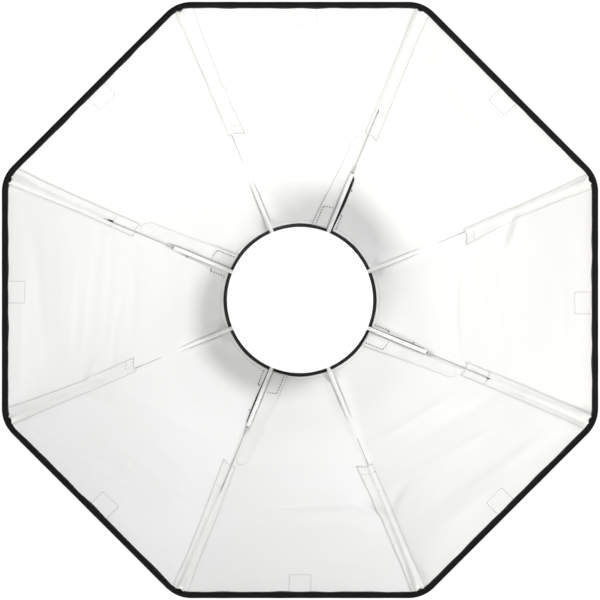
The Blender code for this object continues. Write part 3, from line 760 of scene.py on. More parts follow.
class Stitching:
    """Gathers stitches along lines on the cloth, and makes one mesh of them."""

    SIDES = 6
    SHARES = (-1.0, -0.72, 0.0, 0.72, 1.0)  # a stitch's rings, from its middle to its ends
    FAT = (0.25, 0.85, 1.0, 0.85, 0.25)

    def __init__(self):
        self.points = []

    def line(self, place, length, pitch=0.0029, stitch=0.0013, thick=0.00046):
        """place takes shares of the way along the line and gives points and normals."""
        number = max(2, round(length / pitch))
        middle = (np.arange(number) + 0.5) / number
        reach = stitch / 2 / length
        at, normal = place(middle)
        before, _ = place(middle - reach)
        after, _ = place(middle + reach)
        way = after - before
        half = np.linalg.norm(way, axis=1, keepdims=True) / 2
        way = way / (2 * half)
        side = np.cross(way, normal)
        angle = np.linspace(0, 2 * math.pi, self.SIDES, endpoint=False)
        for share, fat in zip(self.SHARES, self.FAT):
            sink = 0.9 * thick * share**2
            centre = at + share * half * way - sink * normal
            ring = (
                np.cos(angle)[None, :, None] * side[:, None]
                + 0.7 * np.sin(angle)[None, :, None] * normal[:, None]
            )
            self.points.append(centre[:, None] + ring * thick * fat)

    def sew(self, name, material, slot="white_cloth", body="box"):
        """Joins every line's stitches into one piece."""
        layers = len(self.SHARES)
        one = capped_faces(layers, self.SIDES)
        blocks, faces, start = [], [], 0
        for first in range(0, len(self.points), layers):
            block = np.stack(self.points[first : first + layers], axis=1)
            blocks.append(block.reshape(-1, 3))
            for _ in range(block.shape[0]):
                faces += [[start + i for i in face] for face in one]
                start += layers * self.SIDES
        mesh = mesh_of(name, np.concatenate(blocks), faces)
        return add_piece(name, mesh, material, body)


TAPE_STITCH = {"pitch": 0.0036, "thick": 0.0003}
RIM_STITCH = {"pitch": 0.0034, "stitch": 0.0022, "thick": 0.00030}
POCKET_STITCH = {"thick": 0.00038}
LONG_STITCH = {"pitch": 0.0031, "stitch": 0.0017, "thick": 0.00052}
TACK_STITCH = {"pitch": 0.0012, "stitch": 0.0012, "thick": 0.0005}


def cloth_line(seam, start, end, lift):
    """A straight line on the cloth between two (share, across) places.

    lift is a height, or gives one for a share and a way across.
    """
    start = np.array(start, float)
    end = np.array(end, float)

    def place(t):
        share = start[0] + (end[0] - start[0]) * t
        across = start[1] + (end[1] - start[1]) * t
        height = lift(share, across) if callable(lift) else lift
        return on_cloth(seam, share, across, height), cloth_normal(seam, share, across)

    return place, float(lengths_along(place(np.linspace(0, 1, 12))[0])[-1])


def stitch_path(stitching, seam, places, lift, **how):
    for start, end in zip(places, places[1:]):
        place, length = cloth_line(seam, start, end, lift)
        stitching.line(place, length, **how)


# --- Cover ---


COVER_END = 1 - share_of(0.0012)
COVER_ROWS = 120
JUST_PAST = 1e-9  # puts a point on one panel and not on its neighbour
NEAR_SEAM = (0.0, 0.0007, 0.0014, 0.0022, 0.0032, 0.0045, 0.0062, 0.0085, 0.0115)
MIDDLE_COLUMNS = 24


# How far a slit's two edges are from the rod's line, at lengths from the rear opening. The open
# edge shows beside the rod, and the other one is under the flap.
SLIT_STATIONS = (0.0, 0.012, 0.030, 0.048, 0.062, SLIT_LENGTH, SEAM_LENGTH)
SLIT_OPEN = (0.0036, 0.0043, 0.0054, 0.0056, 0.0051, 0.0, 0.0)
SLIT_REVEAL = {1: 1.0, 3: 0.10, 5: 0.50, 7: 0.30}  # how much of each slit shows
SLIT_COVERED = (0.0014, 0.0014, 0.0014, 0.0014, 0.0012, 0.0, 0.0)


def slit_open_edge(share, seam):
    edge = np.interp(share * SEAM_LENGTH, SLIT_STATIONS, SLIT_OPEN)
    return np.minimum(edge, FERRULE_RADIUS + (edge - FERRULE_RADIUS) * SLIT_REVEAL[seam])


def edge_gap(share, seam, side):
    """How far the cloth's edge is from a seam with a slit, on one side of it."""
    if not has_slit(seam):
        return 0 * share
    if side == flap_side(seam):
        return np.interp(share * SEAM_LENGTH, SLIT_STATIONS, SLIT_COVERED)
    return slit_open_edge(share, seam)


def panel_ways(width):
    """How far each of a panel's columns is from one edge, close together beside the seams."""
    near = np.array(NEAR_SEAM)[None, :] + 0 * width
    spread = np.linspace(0, 1, MIDDLE_COLUMNS + 2)[None, 1:-1]
    middle = NEAR_SEAM[-1] + (width - 2 * NEAR_SEAM[-1]) * spread
    return np.concatenate([near, middle, (width - near)[:, ::-1]], axis=1)


def cover_mesh(name, lift, start=0.0, end=COVER_END, rows=COVER_ROWS, ridged=True):
    """All eight panels as one cloth, sewn together except at the slits."""
    share = np.linspace(start, end, rows)
    blocks, faces, uvs = [], [], []
    for panel in range(SIDES):
        after = (panel + 1) % SIDES
        full = 2 * half_panel(share)[:, None]
        first = edge_gap(share, panel, 1)[:, None]
        last = edge_gap(share, after, -1)[:, None]
        way = first + panel_ways(full - first - last)
        columns = way.shape[1]
        middle = columns // 2
        rows_share = share[:, None] + 0 * way
        halves = []
        for seam, part, across in (
            (panel, slice(None, middle), way[:, :middle]),
            (after, slice(middle, None), np.minimum(way[:, middle:] - full, -JUST_PAST)),
        ):
            shares = rows_share[:, part]
            height = lift + ridge(seam, shares, across) if ridged else lift + 0 * shares
            halves.append(on_cloth(seam, shares, across, height))
        blocks.append(np.concatenate(halves, axis=1))
        faces.append(grid_faces(rows, columns) + panel * rows * columns)
        uvs.append(np.stack([way + panel, rows_share * SEAM_LENGTH], axis=-1))
    mesh = mesh_of(name, np.stack(blocks), np.concatenate(faces), np.stack(uvs))
    weld(mesh)
    return mesh


def make_cover():
    panels = [f"panel_{i + 1}" for i in range(SIDES)]
    mesh = cover_mesh("cover_lining", 0.0)
    lining = add_piece("cover_lining", mesh, LINING, "box", panels)
    thicken(lining, LINING_THICK, outside(mesh))
    mesh = cover_mesh("cover_shell", SHELL_LIFT, ridged=False)
    shell = add_piece("cover_shell", mesh, SHELL, "box")
    thicken(shell, SHELL_THICK, outside(mesh))


def outside(mesh):
    """Solidify's offset that adds thickness away from the inside of the box."""
    polygon = mesh.polygons[len(mesh.polygons) // 2]
    towards = Vector((0, -BOX_DEPTH, 0)) - polygon.center
    return -1.0 if polygon.normal.dot(towards) > 0 else 1.0


BINDING_STEPS = 120  # points along each side
BINDING_ROW = 1 - share_of(BINDING_WIDTH - 0.0015)  # where the binding is sewn
BINDING_STITCH_LIFTS = ((0.0013, 1), (-0.0031, -1))  # inside and outside, and which way each faces
TAPE_UNFOLDED = 0.016
SIDE_LENGTH = 0.245
BINDING_WOBBLE = 0.00011  # how uneven the tape is


def binding_profile():
    """The folded tape's section: (metres in front of the rim, metres inwards of the cloth)."""
    back = -BINDING_WIDTH
    inner_fold = [(back, 0.0004), (back + 0.0004, 0.0010), (-0.0030, 0.0012)]
    front_fold = [(-0.0008, 0.0011), (0.0004, 0.0006), (0.0010, -0.0006), (0.0008, -0.0018)]
    outer_fold = [(0.0, -0.0026), (-0.0014, -0.0029), (-0.0030, -0.0030)]
    outer_hem = [(back + 0.0004, -0.0028), (back, -0.0022), (back, -0.0010)]
    return inner_fold + front_fold + outer_fold + outer_hem


def binding_point(seam, over, back, height, wobble):
    """A point of the tape. over runs from 0 at one seam to 1 at the next."""
    edge = abs(back) / BINDING_WIDTH
    share = 1 + share_of(back + (wobble * 2.2 if edge > 0.8 else 0.0) - 0.0003)
    full = 2 * float(half_panel(np.array(share)))
    across = over * full
    if over >= 0.5:
        seam = (seam + 1) % SIDES
        across = min(across - full, -JUST_PAST)
    return on_cloth(seam, share, across, height + 0.25 * wobble)


def make_rim_binding():
    """Tape folded over the rim, a little uneven as sewn tape is."""
    rng = np.random.default_rng(7)
    waves = [(rng.integers(9, 70), rng.uniform(0, 2 * math.pi), rng.uniform(0.3, 1)) for _ in range(7)]
    profile = binding_profile()
    total = SIDES * BINDING_STEPS
    rings = []
    for step in range(total):
        seam, within = divmod(step, BINDING_STEPS)
        turn = 2 * math.pi * step / total
        wobble = sum(a * math.sin(n * turn + p) for n, p, a in waves) * BINDING_WOBBLE
        over = within / BINDING_STEPS
        rings.append([binding_point(seam, over, back, height, wobble) for back, height in profile])
    faces = grid_faces(total, len(profile), closed_rows=True, closed_columns=True)
    width = np.linspace(0, TAPE_UNFOLDED, len(profile))
    length = np.linspace(0, SIDES * SIDE_LENGTH, total)
    uv = np.stack(np.meshgrid(length, width, indexing="ij"), axis=-1)
    mesh = mesh_of("rim_binding", np.array(rings), faces[:, ::-1], uv)
    add_piece("rim_binding", mesh, BINDING, "box", ["front_binding"])
    stitches = Stitching()
    for seam in range(SIDES):
        for sign in (1, -1):
            for lift, facing in BINDING_STITCH_LIFTS:
                add_rim_stitches(stitches, seam, sign, lift, facing)
    stitches.sew("binding_stitches", BLACK_THREAD, "black_cloth")


def add_rim_stitches(stitches, seam, sign, lift, facing):
    """One row of stitches along the binding, from a corner to the middle of a side."""
    full = float(half_panel(np.array(BINDING_ROW)))

    def place(t):
        across = sign * np.maximum(t, 1e-6) * full
        points = on_cloth(seam, BINDING_ROW, across, lift)
        return points, facing * cloth_normal(seam, BINDING_ROW, across)

    stitches.line(place, full, **RIM_STITCH)


# --- Sleeves ---


SLEEVE_START = share_at(SLEEVE_START_RADIUS)
SLEEVE_END = BINDING_ROW
MOUTH_START = SLEEVE_START + share_of(SLOT_LENGTH)

# How far each sleeve's two rows of stitches are from its rod, in millimetres: anticlockwise of it and
# clockwise, at the open end, a third of the way out, and at the rim.
SLEEVE_ROWS = (
    ((4.4, 4.4, 6.2), (15.2, 8.6, 9.2)),
    ((5.0, 5.0, 4.6), (12.3, 11.5, 10.1)),
    ((3.9, 3.9, 4.0), (15.2, 12.5, 13.4)),
    ((6.6, 4.5, 4.0), (10.7, 11.4, 13.6)),
    ((4.3, 5.2, 4.7), (12.6, 10.4, 12.7)),
    ((5.3, 7.8, 7.7), (11.6, 8.9, 7.6)),
    ((5.3, 6.3, 6.1), (13.6, 10.4, 8.2)),
    ((7.9, 7.8, 6.2), (9.5, 9.4, 10.2)),
)
ROW_STATIONS = (SLEEVE_START, SLEEVE_START + 0.38 * (SLEEVE_END - SLEEVE_START), SLEEVE_END)
SLEEVE_EDGE = 0.0009  # from a row of stitches to the sleeve's edge
SLEEVE_HEM = 0.00045  # the height of its flat edges
SLEEVE_OVER_ROD = 0.0005
SLEEVE_CROWN = 0.0033  # how wide the raised part is, to each side of the rod
SLEEVE_COLUMNS = 34
SLEEVE_TAPER = 0.0085  # how far from the rim a sleeve comes down


def sleeve_row(seam, share, side):
    """The way round from a rod to a row of stitches."""
    first, last = SLEEVE_ROWS[seam]
    row = first if side > 0 else last
    return side * np.interp(share, ROW_STATIONS, row) / 1000


def sleeve_heights(across, share, start):
    """How high a sleeve stands: flat along its edges, and over the rod between them."""
    crown = ROD_STANDOFF + ROD_RADIUS - pull(share) + SLEEVE_OVER_ROD
    over_rod = np.exp(-((np.abs(across) / SLEEVE_CROWN) ** 2.6))
    open_up = 1 + 0.06 * bell((share - start) * SEAM_LENGTH, 0.006)
    taper = np.clip((1.0 - share) * SEAM_LENGTH / SLEEVE_TAPER, 0.35, 1)
    ripple = 0.00006 * swell(share, 0.019, 40 * across)
    raised = (crown - SLEEVE_HEM) * over_rod * open_up * taper
    return SLEEVE_HEM + raised + ripple * (1 - over_rod)


MOUTHS = {1: (0.0055, 0.0020), 3: (0.0140, 0.0030), 5: (0.0110, 0.0016), 7: (0.0050, 0.0026)}


def mouth_edge(seam, length, side):
    """How far a sleeve's leaf-shaped mouth reaches from the rod's line, on one side of it."""
    whole, width = MOUTHS[seam]
    t = np.clip(length / whole, 0, 1)
    return width * (1.0 if side < 0 else 0.35) * (1 - t) * (1 + 1.4 * t)


def sleeve_across(seam, share):
    """Ways round for a sleeve's columns. The two middle ones are on the rod's line."""
    half = np.linspace(0, 1, SLEEVE_COLUMNS // 2)[None, :] ** 1.25
    slotted = has_slit(seam)
    sides = []
    for side in (-1, 1):
        edge = np.abs(sleeve_row(seam, share, side)) + SLEEVE_EDGE
        way = (share - MOUTH_START) * SEAM_LENGTH
        gap = mouth_edge(seam, way, side) if slotted else 0 * share
        sides.append(side * (gap + (edge - gap) * half))
    return np.concatenate([sides[0][:, ::-1], sides[1]], axis=1)


def make_sleeve(seam, rng):
    number = seam + 1
    slotted = has_slit(seam)
    start = MOUTH_START if slotted else SLEEVE_START
    share = np.linspace(start, SLEEVE_END, 64)[:, None]
    uneven = 1 + 0.012 * np.sin(share * 40 + rng.uniform(0, 6))
    across = sleeve_across(seam, share) * uneven
    points = on_cloth(seam, share, across, sleeve_heights(across, share, start))
    name = f"rod_pocket_{number}"
    mesh = two_sided_strip(name, points)
    piece = add_piece(name, mesh, SLEEVE, "box", [f"rod_sleeve_{number}"])
    thicken(piece, LINING_THICK)
    if slotted:
        make_patch(seam, number)


def two_sided_strip(name, points):
    """A sheet in two halves, welded along its middle wherever they meet."""
    rows, columns = points.shape[:2]
    half = columns // 2
    faces = grid_faces(rows, half)
    row, column = faces // half, faces % half
    left = row * columns + column
    uv = metre_uv(points)
    mesh = mesh_of(name, points, np.concatenate([left, left + half]), uv)
    weld(mesh)
    return mesh


def make_patch(seam, number):
    """The flat inner end of a slotted sleeve, which passes under the rod."""
    share = np.linspace(SLEEVE_START, MOUTH_START + share_of(0.010), 24)[:, None]
    low = sleeve_row(seam, share, -1) - 0.7 * SLEEVE_EDGE
    high = sleeve_row(seam, share, 1) + 0.7 * SLEEVE_EDGE
    across = low + (high - low) * np.linspace(0, 1, 25)[None, :]
    lift = POCKET_PATCH_LIFT + 0.00005 * swell(share, 0.009)
    points = on_cloth(seam, share, across, lift + ridge(seam, share, across))
    piece = add_cloth(f"pocket_patch_{number}", points, SLEEVE, THIN)
    make_mouth(seam, number)


def make_mouth(seam, number):
    """A black sheet inside the mouth of a slotted sleeve: painted shade, where the narrow tunnel lets in
    no light.
    """
    along = np.linspace(-0.0010, MOUTHS[seam][0] + 0.003, 16)[:, None]
    wide = 0.0006 + mouth_edge(seam, along, -1)
    narrow = 0.0006 + mouth_edge(seam, along, 1)
    reach = np.clip((along + 0.0030) / 0.003, 0, 1)
    across = (-wide + (wide + narrow) * np.linspace(0, 1, 9)[None, :]) * reach
    share = MOUTH_START + share_of(along) + 0 * across
    points = on_cloth(seam, share, across, MOUTH_LIFT + ridge(seam, share, across))
    add_cloth(f"mouth_facing_{number}", points, BLACK_LOOP, THIN, "black_cloth")


def stitch_sleeve(stitches, seam):
    """The rows along a sleeve and across its inner end. A whole seam's has two more short ones."""
    inner = SLEEVE_START + share_of(0.0012)
    slotted = has_slit(seam)
    start = MOUTH_START if slotted else SLEEVE_START

    def lift(share, across):
        height = sleeve_heights(across, share, start) + THIN
        on_patch = POCKET_PATCH_LIFT + THIN + ridge(seam, share, across)
        return np.where(share < start, on_patch, height) if slotted else height

    shares = np.linspace(inner, SLEEVE_END, 9)
    for side in (-1, 1):
        places = [(share, float(sleeve_row(seam, share, side))) for share in shares]
        stitch_path(stitches, seam, places, lift, **POCKET_STITCH)
    low, high = (float(sleeve_row(seam, inner, side)) for side in (-1, 1))
    stitch_path(stitches, seam, [(inner, low), (inner, high)], lift)
    if not slotted:
        second = inner + share_of(0.0095)
        for side, to in ((-1, low), (1, high)):
            stitch_path(stitches, seam, [(second, side * 0.0035), (second, 0.9 * to)], lift)


def make_sleeves():
    rng = np.random.default_rng(5)
    stitches = Stitching()
    for seam in range(SIDES):
        make_sleeve(seam, rng)
        stitch_sleeve(stitches, seam)
    stitches.sew("pocket_stitches", HOLE_SHADE_THREAD)


# --- Patches ---


PATCH_WIDTH = 0.0220
PATCH_DEPTH = 0.0235
PATCH_HEM = 0.0012  # from its edge to its stitches outside
# How far each patch is from the middle of its side, in millimetres anticlockwise.
PATCH_SHIFTS = (-3, -6, -4, -8, 7, 0, -1, -3)


def panel_line(panel, start, end, lift, facing=1):
    """A line near the middle of a panel. A place is (metres from the rim, metres from the middle)."""

    def place(t):
        back = start[0] + (end[0] - start[0]) * t
        off = start[1] + (end[1] - start[1]) * t
        share = 1 - share_of(back)
        half = half_panel(share)
        near = on_cloth(panel, share, half + np.minimum(off, 0), lift)
        far = on_cloth((panel + 1) % SIDES, share, -half + np.maximum(off, JUST_PAST), lift)
        points = np.where(off[:, None] <= 0, near, far)
        normal = cloth_normal(panel, share, half)
        return points, facing * normal

    return place, float(lengths_along(place(np.linspace(0, 1, 8))[0])[-1])


def make_patches():
    """Hook-and-loop patches outside the rim, and the stitches that show inside."""
    inside = Stitching()
    outside_stitches = Stitching()
    front = BINDING_WIDTH + 0.0010
    back = front + PATCH_DEPTH
    for panel, shift in enumerate(PATCH_SHIFTS):
        low = shift / 1000 - PATCH_WIDTH / 2
        high = low + PATCH_WIDTH
        corners = [(front, low), (back, low), (back, high), (front, high)]
        for start, end in zip(corners, corners[1:]):
            place, length = panel_line(panel, start, end, PATCH_STITCH_LIFT)
            inside.line(place, length)
            inset = {low: PATCH_HEM, high: -PATCH_HEM}
            row = [(back_at - PATCH_HEM, off + inset[off]) for back_at, off in (start, end)]
            place, length = panel_line(panel, *row, PAD_STITCH_LIFT, -1)
            outside_stitches.line(place, length, thick=TAPE_STITCH["thick"])
        make_patch_pad(panel, front, back, low, high)
    inside.sew("patch_stitches_inside", HOLE_SHADE_THREAD)
    outside_stitches.sew("patch_stitches_outside", BLACK_THREAD, "black_cloth")


def make_patch_pad(panel, front, back, low, high):
    rows = []
    for back_at in np.linspace(front, back, 8):
        place, _ = panel_line(panel, (back_at, low), (back_at, high), PAD_LIFT)
        rows.append(place(np.linspace(0, 1, 12))[0])
    name = f"loop_patch_{panel + 1}"
    pad = add_cloth(name, np.array(rows), BLACK_LOOP, PAD_THICK, "black_cloth")


TAPE_WIDTH = 0.015
TAPE_START = share_of(0.0012)
TAPE_ROWS = (-0.0060, 0.0060)


def make_seam_tapes():
    """Webbing sewn over each seam on the outside, from the collar to the rim."""
    stitches = Stitching()
    for seam in range(SIDES):
        share = np.linspace(TAPE_START, SLEEVE_END, 60)[:, None]
        across = np.linspace(-1, 1, 9)[None, :] * TAPE_WIDTH / 2
        points = on_cloth(seam, share, across, TAPE_LIFT)
        piece = add_cloth(f"seam_tape_{seam + 1}", points, WEBBING, TAPE_THICK, "black_cloth")
        length = float(SLEEVE_END - TAPE_START) * SEAM_LENGTH
        start = TAPE_START + share_of(0.002)
        for side in TAPE_ROWS:
            place, length = cloth_line(seam, (start, side), (SLEEVE_END, side), TAPE_STITCH_LIFT)
            stitches.line(flipped(place), length, **TAPE_STITCH)
    stitches.sew("tape_stitches", BLACK_THREAD, "black_cloth")


def flipped(place):
    """The same line, seen from the outside."""

    def turned(t):
        points, normal = place(t)
        return points, -normal

    return turned


NECK_STEP = 0.0054  # from the speed ring's edge to the collar round its neck


def make_collar():
    """The gathered elastic hem round the speed ring's neck, a little larger than the CAD collar."""
    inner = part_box("speed_ring")[1].x - NECK_STEP
    outer = NECK_RADIUS + 0.0007
    front = COLLAR_FRONT - 0.0019
    corners = [(inner, front), (outer, front), (outer, COLLAR_REAR), (inner, COLLAR_REAR)]

    def ripple(angle):
        return 0.00018 * np.sin(96 * angle) + 0.00012 * np.sin(61 * angle + 1.0)

    mesh = lathe("elastic_collar", rounded(corners, 0.0007, 3), 384, ripple)
    add_piece("elastic_collar", mesh, ELASTIC, "box", ["rear_collar"])


HEM_INSIDE = 0.0021  # how far the hem reaches in from the lining's edge
HEM_OUTSIDE = 0.0008


def make_opening_hem():
    """The lining's turned edge, in front of the speed ring."""
    start = -share_of(HEM_INSIDE)
    end = share_of(HEM_OUTSIDE)
    mesh = cover_mesh("opening_hem", HEM_LIFT, start, end, 6, ridged=False)
    thicken(add_piece("opening_hem", mesh, LINING, "box"), LINING_THICK)


# --- Closure flaps ---


FLAP_FREE = 0.0030  # from the rod's line to the free edge
FLAP_TAPER = {1: 0.0042, 3: 0.0014, 5: 0.0016, 7: 0.0022}
FLAP_ROW = 0.0034  # from the sewn edge to its row of stitches
FLAP_BOX = 0.0225  # from the rear opening to the row across


def flap_grid(seam, near, far, start, end, rows, columns, round_end=0.0, taper=0.0):
    """Places of a strip beside a seam. round_end trims its outer corners."""
    side = flap_side(seam)
    t = np.linspace(0, 1, rows)[:, None]
    s = np.linspace(0, 1, columns)[None, :]
    trim = round_end * (1 - np.sqrt(np.clip(1 - 0.96 * (2 * s - 1) ** 2, 0, 1)))
    along = start + (end - trim - start) * t
    across = side * (near + (far - taper * t - near) * s)
    return share_of(along), across


def flap_lift(seam, share, across, number):
    """A flap's height: over its fastener at the inner end, and nearly flat beyond it."""
    wave = 0.00012 * swell(share, 0.031, number)
    free = np.clip((FLAP_FAR - np.abs(across)) / (FLAP_FAR - FLAP_FREE), 0, 1)
    over_pads = 1 - smooth(share * SEAM_LENGTH, FLAP_BOX + 0.001, 0.050)
    lift = FLAP_LIFT + 0.0011 * over_pads + wave * free + 0.0006 * over_pads * free**2
    return lift + ridge(seam, share, across)


def stitch_flap(seam):
    """The row along a flap's sewn edge and across it, past the fastener."""
    stitches = Stitching()
    side = flap_side(seam)
    row = side * (FLAP_FAR - FLAP_ROW)
    box = share_of(FLAP_BOX)
    places = [(0.0, row), (box, row), (box, side * (FLAP_FREE + 0.0012))]
    stitch_path(stitches, seam, places, FLAP_STITCH_LIFT, **LONG_STITCH)
    return stitches


def make_flap(seam, number):
    body = f"flap_{number}"
    end = FLAP_START + FLAP_LENGTH
    taper = FLAP_TAPER[seam]
    share, across = flap_grid(seam, FLAP_FREE, FLAP_FAR, -HEM_INSIDE, end, 56, 15, 0.009, taper)
    points = on_cloth(seam, share, across, flap_lift(seam, share, across, number))
    how = {"body": body, "replaces": [f"closure_flap_{number}"]}
    piece = add_cloth(f"flap_cloth_{number}", points, SLEEVE, SHELL_THICK, **how)
    sewn = stitch_flap(seam).sew(f"flap_stitches_{number}", DARK_HOLE_SHADE_THREAD, body=body)
    hook = make_pad("flap_hook", seam, number, HOOK_LIFT, body)
    make_pad("flap_loop", seam, number, LOOP_LIFT, "box")


def make_pad(kind, seam, number, lift, body):
    """Half of a flap's hook-and-loop fastener."""
    near = FLAP_NEAR + 0.0012
    far = FLAP_FAR - 0.0020
    start = FLAP_START - 0.002
    share, across = flap_grid(seam, near, far, start, FLAP_BOX - 0.001, 9, 9)
    points = on_cloth(seam, share, across, lift)
    pad = add_cloth(f"{kind}_{number}", points, WHITE_LOOP, LINING_THICK, body=body)
    return pad


SLIT_ROWS = {1: 0.0066, 3: 0.0078, 5: 0.0070, 7: 0.0061}  # from a rod to the stitches past its slit
SLIT_ROW_END = 0.0180
TACK_AT = 0.0480  # from the rear opening to the tack beside a slit
SLIT_HEM_WIDTH = 0.0011


def make_slit_hem(seam, number):
    """The hem along a slit's open edge."""
    share = share_of(np.linspace(-0.0010, SLIT_LENGTH - 0.0015, 44)[:, None])
    over = np.linspace(0, 1, 5)[None, :]
    across = -flap_side(seam) * (slit_open_edge(share, seam) - 0.0001 + SLIT_HEM_WIDTH * over)
    points = on_cloth(seam, share, across, SLIT_HEM_LIFT + 0.00006 * swell(share, 0.011))
    add_cloth(f"slit_hem_{number}", points, SLEEVE, TAPE_THICK)


def stitch_slit(stitches, seam):
    """The row beside a slit, and the tack near its end."""
    side = -flap_side(seam)
    end = share_of(SLIT_ROW_END)
    row = SLIT_ROWS[seam]
    places = [(0.0, side * row), (end, side * row), (end, side * (row - 0.0026))]
    stitch_path(stitches, seam, places, SLIT_STITCH_LIFT, **LONG_STITCH)
    tack = share_of(TACK_AT)
    edge = float(slit_open_edge(tack, seam)) + 0.0005
    places = [(tack, side * (edge + 0.0012)), (tack + share_of(0.0020), side * edge)]
    stitch_path(stitches, seam, places, TACK_LIFT, **TACK_STITCH)


def make_slits():
    stitches = Stitching()
    for number, seam in enumerate(SLIT_SEAMS, 1):
        make_slit_hem(seam, number)
        stitch_slit(stitches, seam)
    stitches.sew("slit_stitches", DARK_HOLE_SHADE_THREAD)


# --- Rods ---


FERRULE_END = share_at(FERRULE_END_RADIUS)


def rod_path(first, last, steps, seam):
    share = np.linspace(first, last, steps)
    radius, y = seam_profile(share, ROD_STANDOFF)
    points = np.stack([radius, y, 0 * share], axis=-1)
    return spin(points, seam_azimuth(seam))


def bar_radii(path, radius, ends):
    """A radius for each point, reduced to shares of it at the last ones."""
    shares = np.ones(len(path))
    shares[-len(ends) :] = ends
    return radius * shares


def make_rod(seam, number):
    rod_end = 1 - share_of(BINDING_WIDTH + 0.0045)
    path = rod_path(FERRULE_END - share_of(0.012), rod_end, 60, seam)
    name = f"fibre_rod_{number}"
    mesh = tube(name, path, bar_radii(path, ROD_RADIUS, (0.85, 0.4)))
    add_piece(name, mesh, ROD, "box", [f"rod_{number}"])


def make_ferrule(seam, number):
    """The bar that joins a rod to its socket, straight inside the socket."""
    outer = rod_path(share_at(SOCKET_MOUTH_RADIUS), FERRULE_END, 26, seam)
    way = outer[1] - outer[0]
    inner = outer[0] - way / np.linalg.norm(way) * (SOCKET_DEPTH - 0.0006)
    path = np.concatenate([inner[None], outer])
    name = f"rod_socket_bar_{number}"
    mesh = tube(name, path, bar_radii(path, FERRULE_RADIUS, (0.95, 0.75)))
    add_piece(name, mesh, FERRULE, "box", [f"rod_ferrule_{number}"])


def make_shrink_band(seam, number):
    """The band where a rod enters its bar."""
    path = rod_path(FERRULE_END - share_of(0.0008), FERRULE_END + share_of(0.0012), 8, seam)
    name = f"shrink_band_{number}"
    mesh = tube(name, path, ROD_RADIUS + np.linspace(0.00030, 0.00012, len(path)))
    add_piece(name, mesh, SHRINK, "box")


def make_rods():
    for seam in range(SIDES):
        for make in (make_rod, make_ferrule, make_shrink_band):
            make(seam, seam + 1)


# --- Deflector and ring ---


PLATE_THICKNESS = 0.0012


def make_deflector():
    """The disc, with a rolled lip and a shallow step inside it."""
    height = PLATE_HIGH.y - PLATE_FRONT
    face = [(part * PLATE_RADIUS, 0.0) for part in (0.0, 0.10, 0.30, 0.60)]
    # Each is (millimetres in from the edge, millimetres behind the face).
    edge = [(6.0, 0.02), (3.0, 0.10), (1.4, 0.32), (0.5, 0.85), (0.0, 1.6)]
    edge += [(0.2, 1000 * height - 0.3), (0.7, 1000 * height), (1.3, 1000 * height - 0.3)]
    edge += [(1.6, 1.8), (3.0, 1.3)]
    edge = [(PLATE_RADIUS - inwards / 1000, behind / 1000) for inwards, behind in edge]
    back = [(part * PLATE_RADIUS, PLATE_THICKNESS) for part in (0.60, 0.10, 0.0)]
    profile = [(radius, PLATE_FRONT + behind) for radius, behind in face + edge + back]
    mesh = lathe("deflector_disc", profile, 192)
    add_piece("deflector_disc", mesh, ENAMEL, "deflector", ["deflector_plate"])


CAD_FINISHES = {
    "bayonet_insert": BRIGHT,
    "speed_ring": CAST,
    "retainer_plate": CAST,
    "retainer_screw": STEEL,
    "lock_screw": KNOB,
    "deflector_post": STEEL,
    "post_grommet": RUBBER,
}
SOFTENED = {"bayonet_insert": 0.0003, "speed_ring": 0.0005, "retainer_plate": 0.0003, "lock_screw": 0.0004}


def finish_cad_nodes():
    """Gives each CAD node that shows its finish, and eases its hard edges."""
    for name, node in frame["nodes"].items():
        if node.hide_render:
            continue
        kind = next(k for k in CAD_FINISHES if name.startswith(k))
        node.data.materials.clear()
        node.data.materials.append(CAD_FINISHES[kind])
        if kind in SOFTENED:
            bevel = node.modifiers.new("Ease", "BEVEL")
            bevel.width = SOFTENED[kind]
            bevel.segments = 2
            bevel.limit_method = "ANGLE"
            bevel.angle_limit = math.radians(35)
            bevel.harden_normals = True


# --- Stage ---


CAMERA_DISTANCE = 3.0  # from the rim
VIEW_WIDTH = 0.6040  # what the frame takes in at the rim
FLOOR_LEVEL = -1.45
AIM = Vector((0, -0.08, 0))  # where the lights point
SURROUND_SEEN, SURROUND_FILL = 1.05, 0.120


def make_floor():
    mesh = bpy.data.meshes.new("floor")
    shape = bmesh.new()
    bmesh.ops.create_circle(shape, cap_ends=True, segments=128, radius=5.0)
    shape.to_mesh(mesh)
    shape.free()
    made = Finish("pale_floor", (0.86, 0.86, 0.85), 0.8)
    made.mottle(6, 3, 0.4, 0.7, (0.88, 0.88, 0.87))
    mesh.materials.append(made.grain(300, 3, 0.0003, 0.2).material)
    floor = bpy.data.objects.new("floor", mesh)
    floor.location = (0, -0.1, FLOOR_LEVEL)
    bpy.context.scene.collection.objects.link(floor)


def make_light(name, direction, distance, size, power, colour=(1, 1, 1)):
    data = bpy.data.lights.new(name, "AREA")
    data.color = colour
    data.shape = "DISK"
    data.size = size
    data.energy = power
    light = bpy.data.objects.new(name, data)
    light.location = AIM + Vector(direction).normalized() * distance
    light.rotation_mode = "QUATERNION"
    light.rotation_quaternion = (AIM - light.location).to_track_quat("-Z", "Y")
    bpy.context.scene.collection.objects.link(light)


def off_axis(azimuth, angle):
    """A direction in front of the box, at an angle from its axis."""
    azimuth = math.radians(azimuth)
    angle = math.radians(angle)
    side = math.sin(angle)
    return (side * math.cos(azimuth), -math.cos(angle), side * math.sin(azimuth))


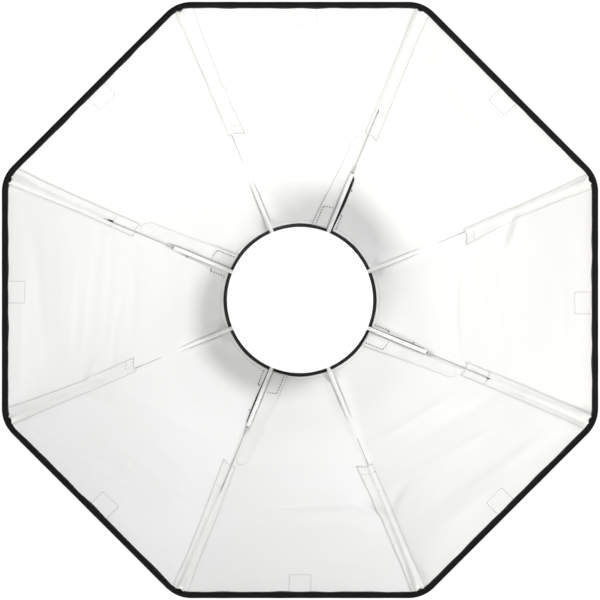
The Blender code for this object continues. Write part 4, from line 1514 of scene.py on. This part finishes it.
def make_world():
    """A white surround. It lights the scene less than it shows behind the object."""
    world = bpy.data.worlds.new("studio")
    world.use_nodes = True
    tree = world.node_tree
    seen = tree.nodes["Background"]
    fill = tree.nodes.new("ShaderNodeBackground")
    for background, strength in ((seen, SURROUND_SEEN), (fill, SURROUND_FILL)):
        background.inputs["Color"].default_value = (1, 1, 1, 1)
        background.inputs["Strength"].default_value = strength
    rays = tree.nodes.new("ShaderNodeLightPath")
    mix = tree.nodes.new("ShaderNodeMixShader")
    tree.links.new(rays.outputs["Is Camera Ray"], mix.inputs["Fac"])
    tree.links.new(fill.outputs["Background"], mix.inputs[1])
    tree.links.new(seen.outputs["Background"], mix.inputs[2])
    tree.links.new(mix.outputs["Shader"], tree.nodes["World Output"].inputs["Surface"])
    bpy.context.scene.world = world


def make_camera():
    data = bpy.data.cameras.new("camera")
    data.sensor_width = 36
    data.lens = data.sensor_width * CAMERA_DISTANCE / VIEW_WIDTH
    data.clip_end = 30
    camera = bpy.data.objects.new("camera", data)
    camera.location = (0, -BOX_DEPTH - CAMERA_DISTANCE, 0)
    camera.rotation_euler = (math.pi / 2, 0, 0)
    bpy.context.scene.collection.objects.link(camera)
    bpy.context.scene.camera = camera


def make_stage():
    make_camera()
    make_world()
    make_floor()
    make_light("key_low_left", off_axis(238, 60), 1.2, 1.05, 13.5, (1.0, 0.985, 0.940))
    make_light("fill_high_right", off_axis(30, 46), 1.0, 0.55, 6.4, (0.965, 0.985, 1.0))
    make_light("fill_high_left", off_axis(125, 50), 1.6, 1.2, 2.8)
    make_light("front", off_axis(125, 9), 3.4, 1.4, 15.5)
    make_light("rear_high", off_axis(70, 130), 3.2, 2.0, 60)
    bpy.context.scene.view_settings.view_transform = "Standard"


def declare_cloth():
    """Gathers the pieces sewn to the lining and to the shell, and does nothing more with them."""
    pieces = bpy.data.objects
    inside = ["opening_hem", "patch_stitches_inside", "slit_stitches", "pocket_stitches"]
    inside += [f"slit_hem_{number + 1}" for number in range(4)]
    outside_pieces = ["rim_binding", "binding_stitches", "elastic_collar", "tape_stitches"]
    outside_pieces += ["patch_stitches_outside"]
    # The black sheets in the sleeves' mouths are painted shade.
    outside_pieces += [f"mouth_facing_{seam + 1}" for seam in SLIT_SEAMS]
    for name, trims in (("cover_lining", inside), ("cover_shell", outside_pieces)):
        trims = [pieces[trim] for trim in trims]


make_cover()
make_rim_binding()
make_sleeves()
make_patches()
make_seam_tapes()
make_collar()
make_opening_hem()
for number, seam in enumerate(SLIT_SEAMS, 1):
    make_flap(seam, number)
make_slits()
make_rods()
make_deflector()
finish_cad_nodes()
declare_cloth()
make_stage()
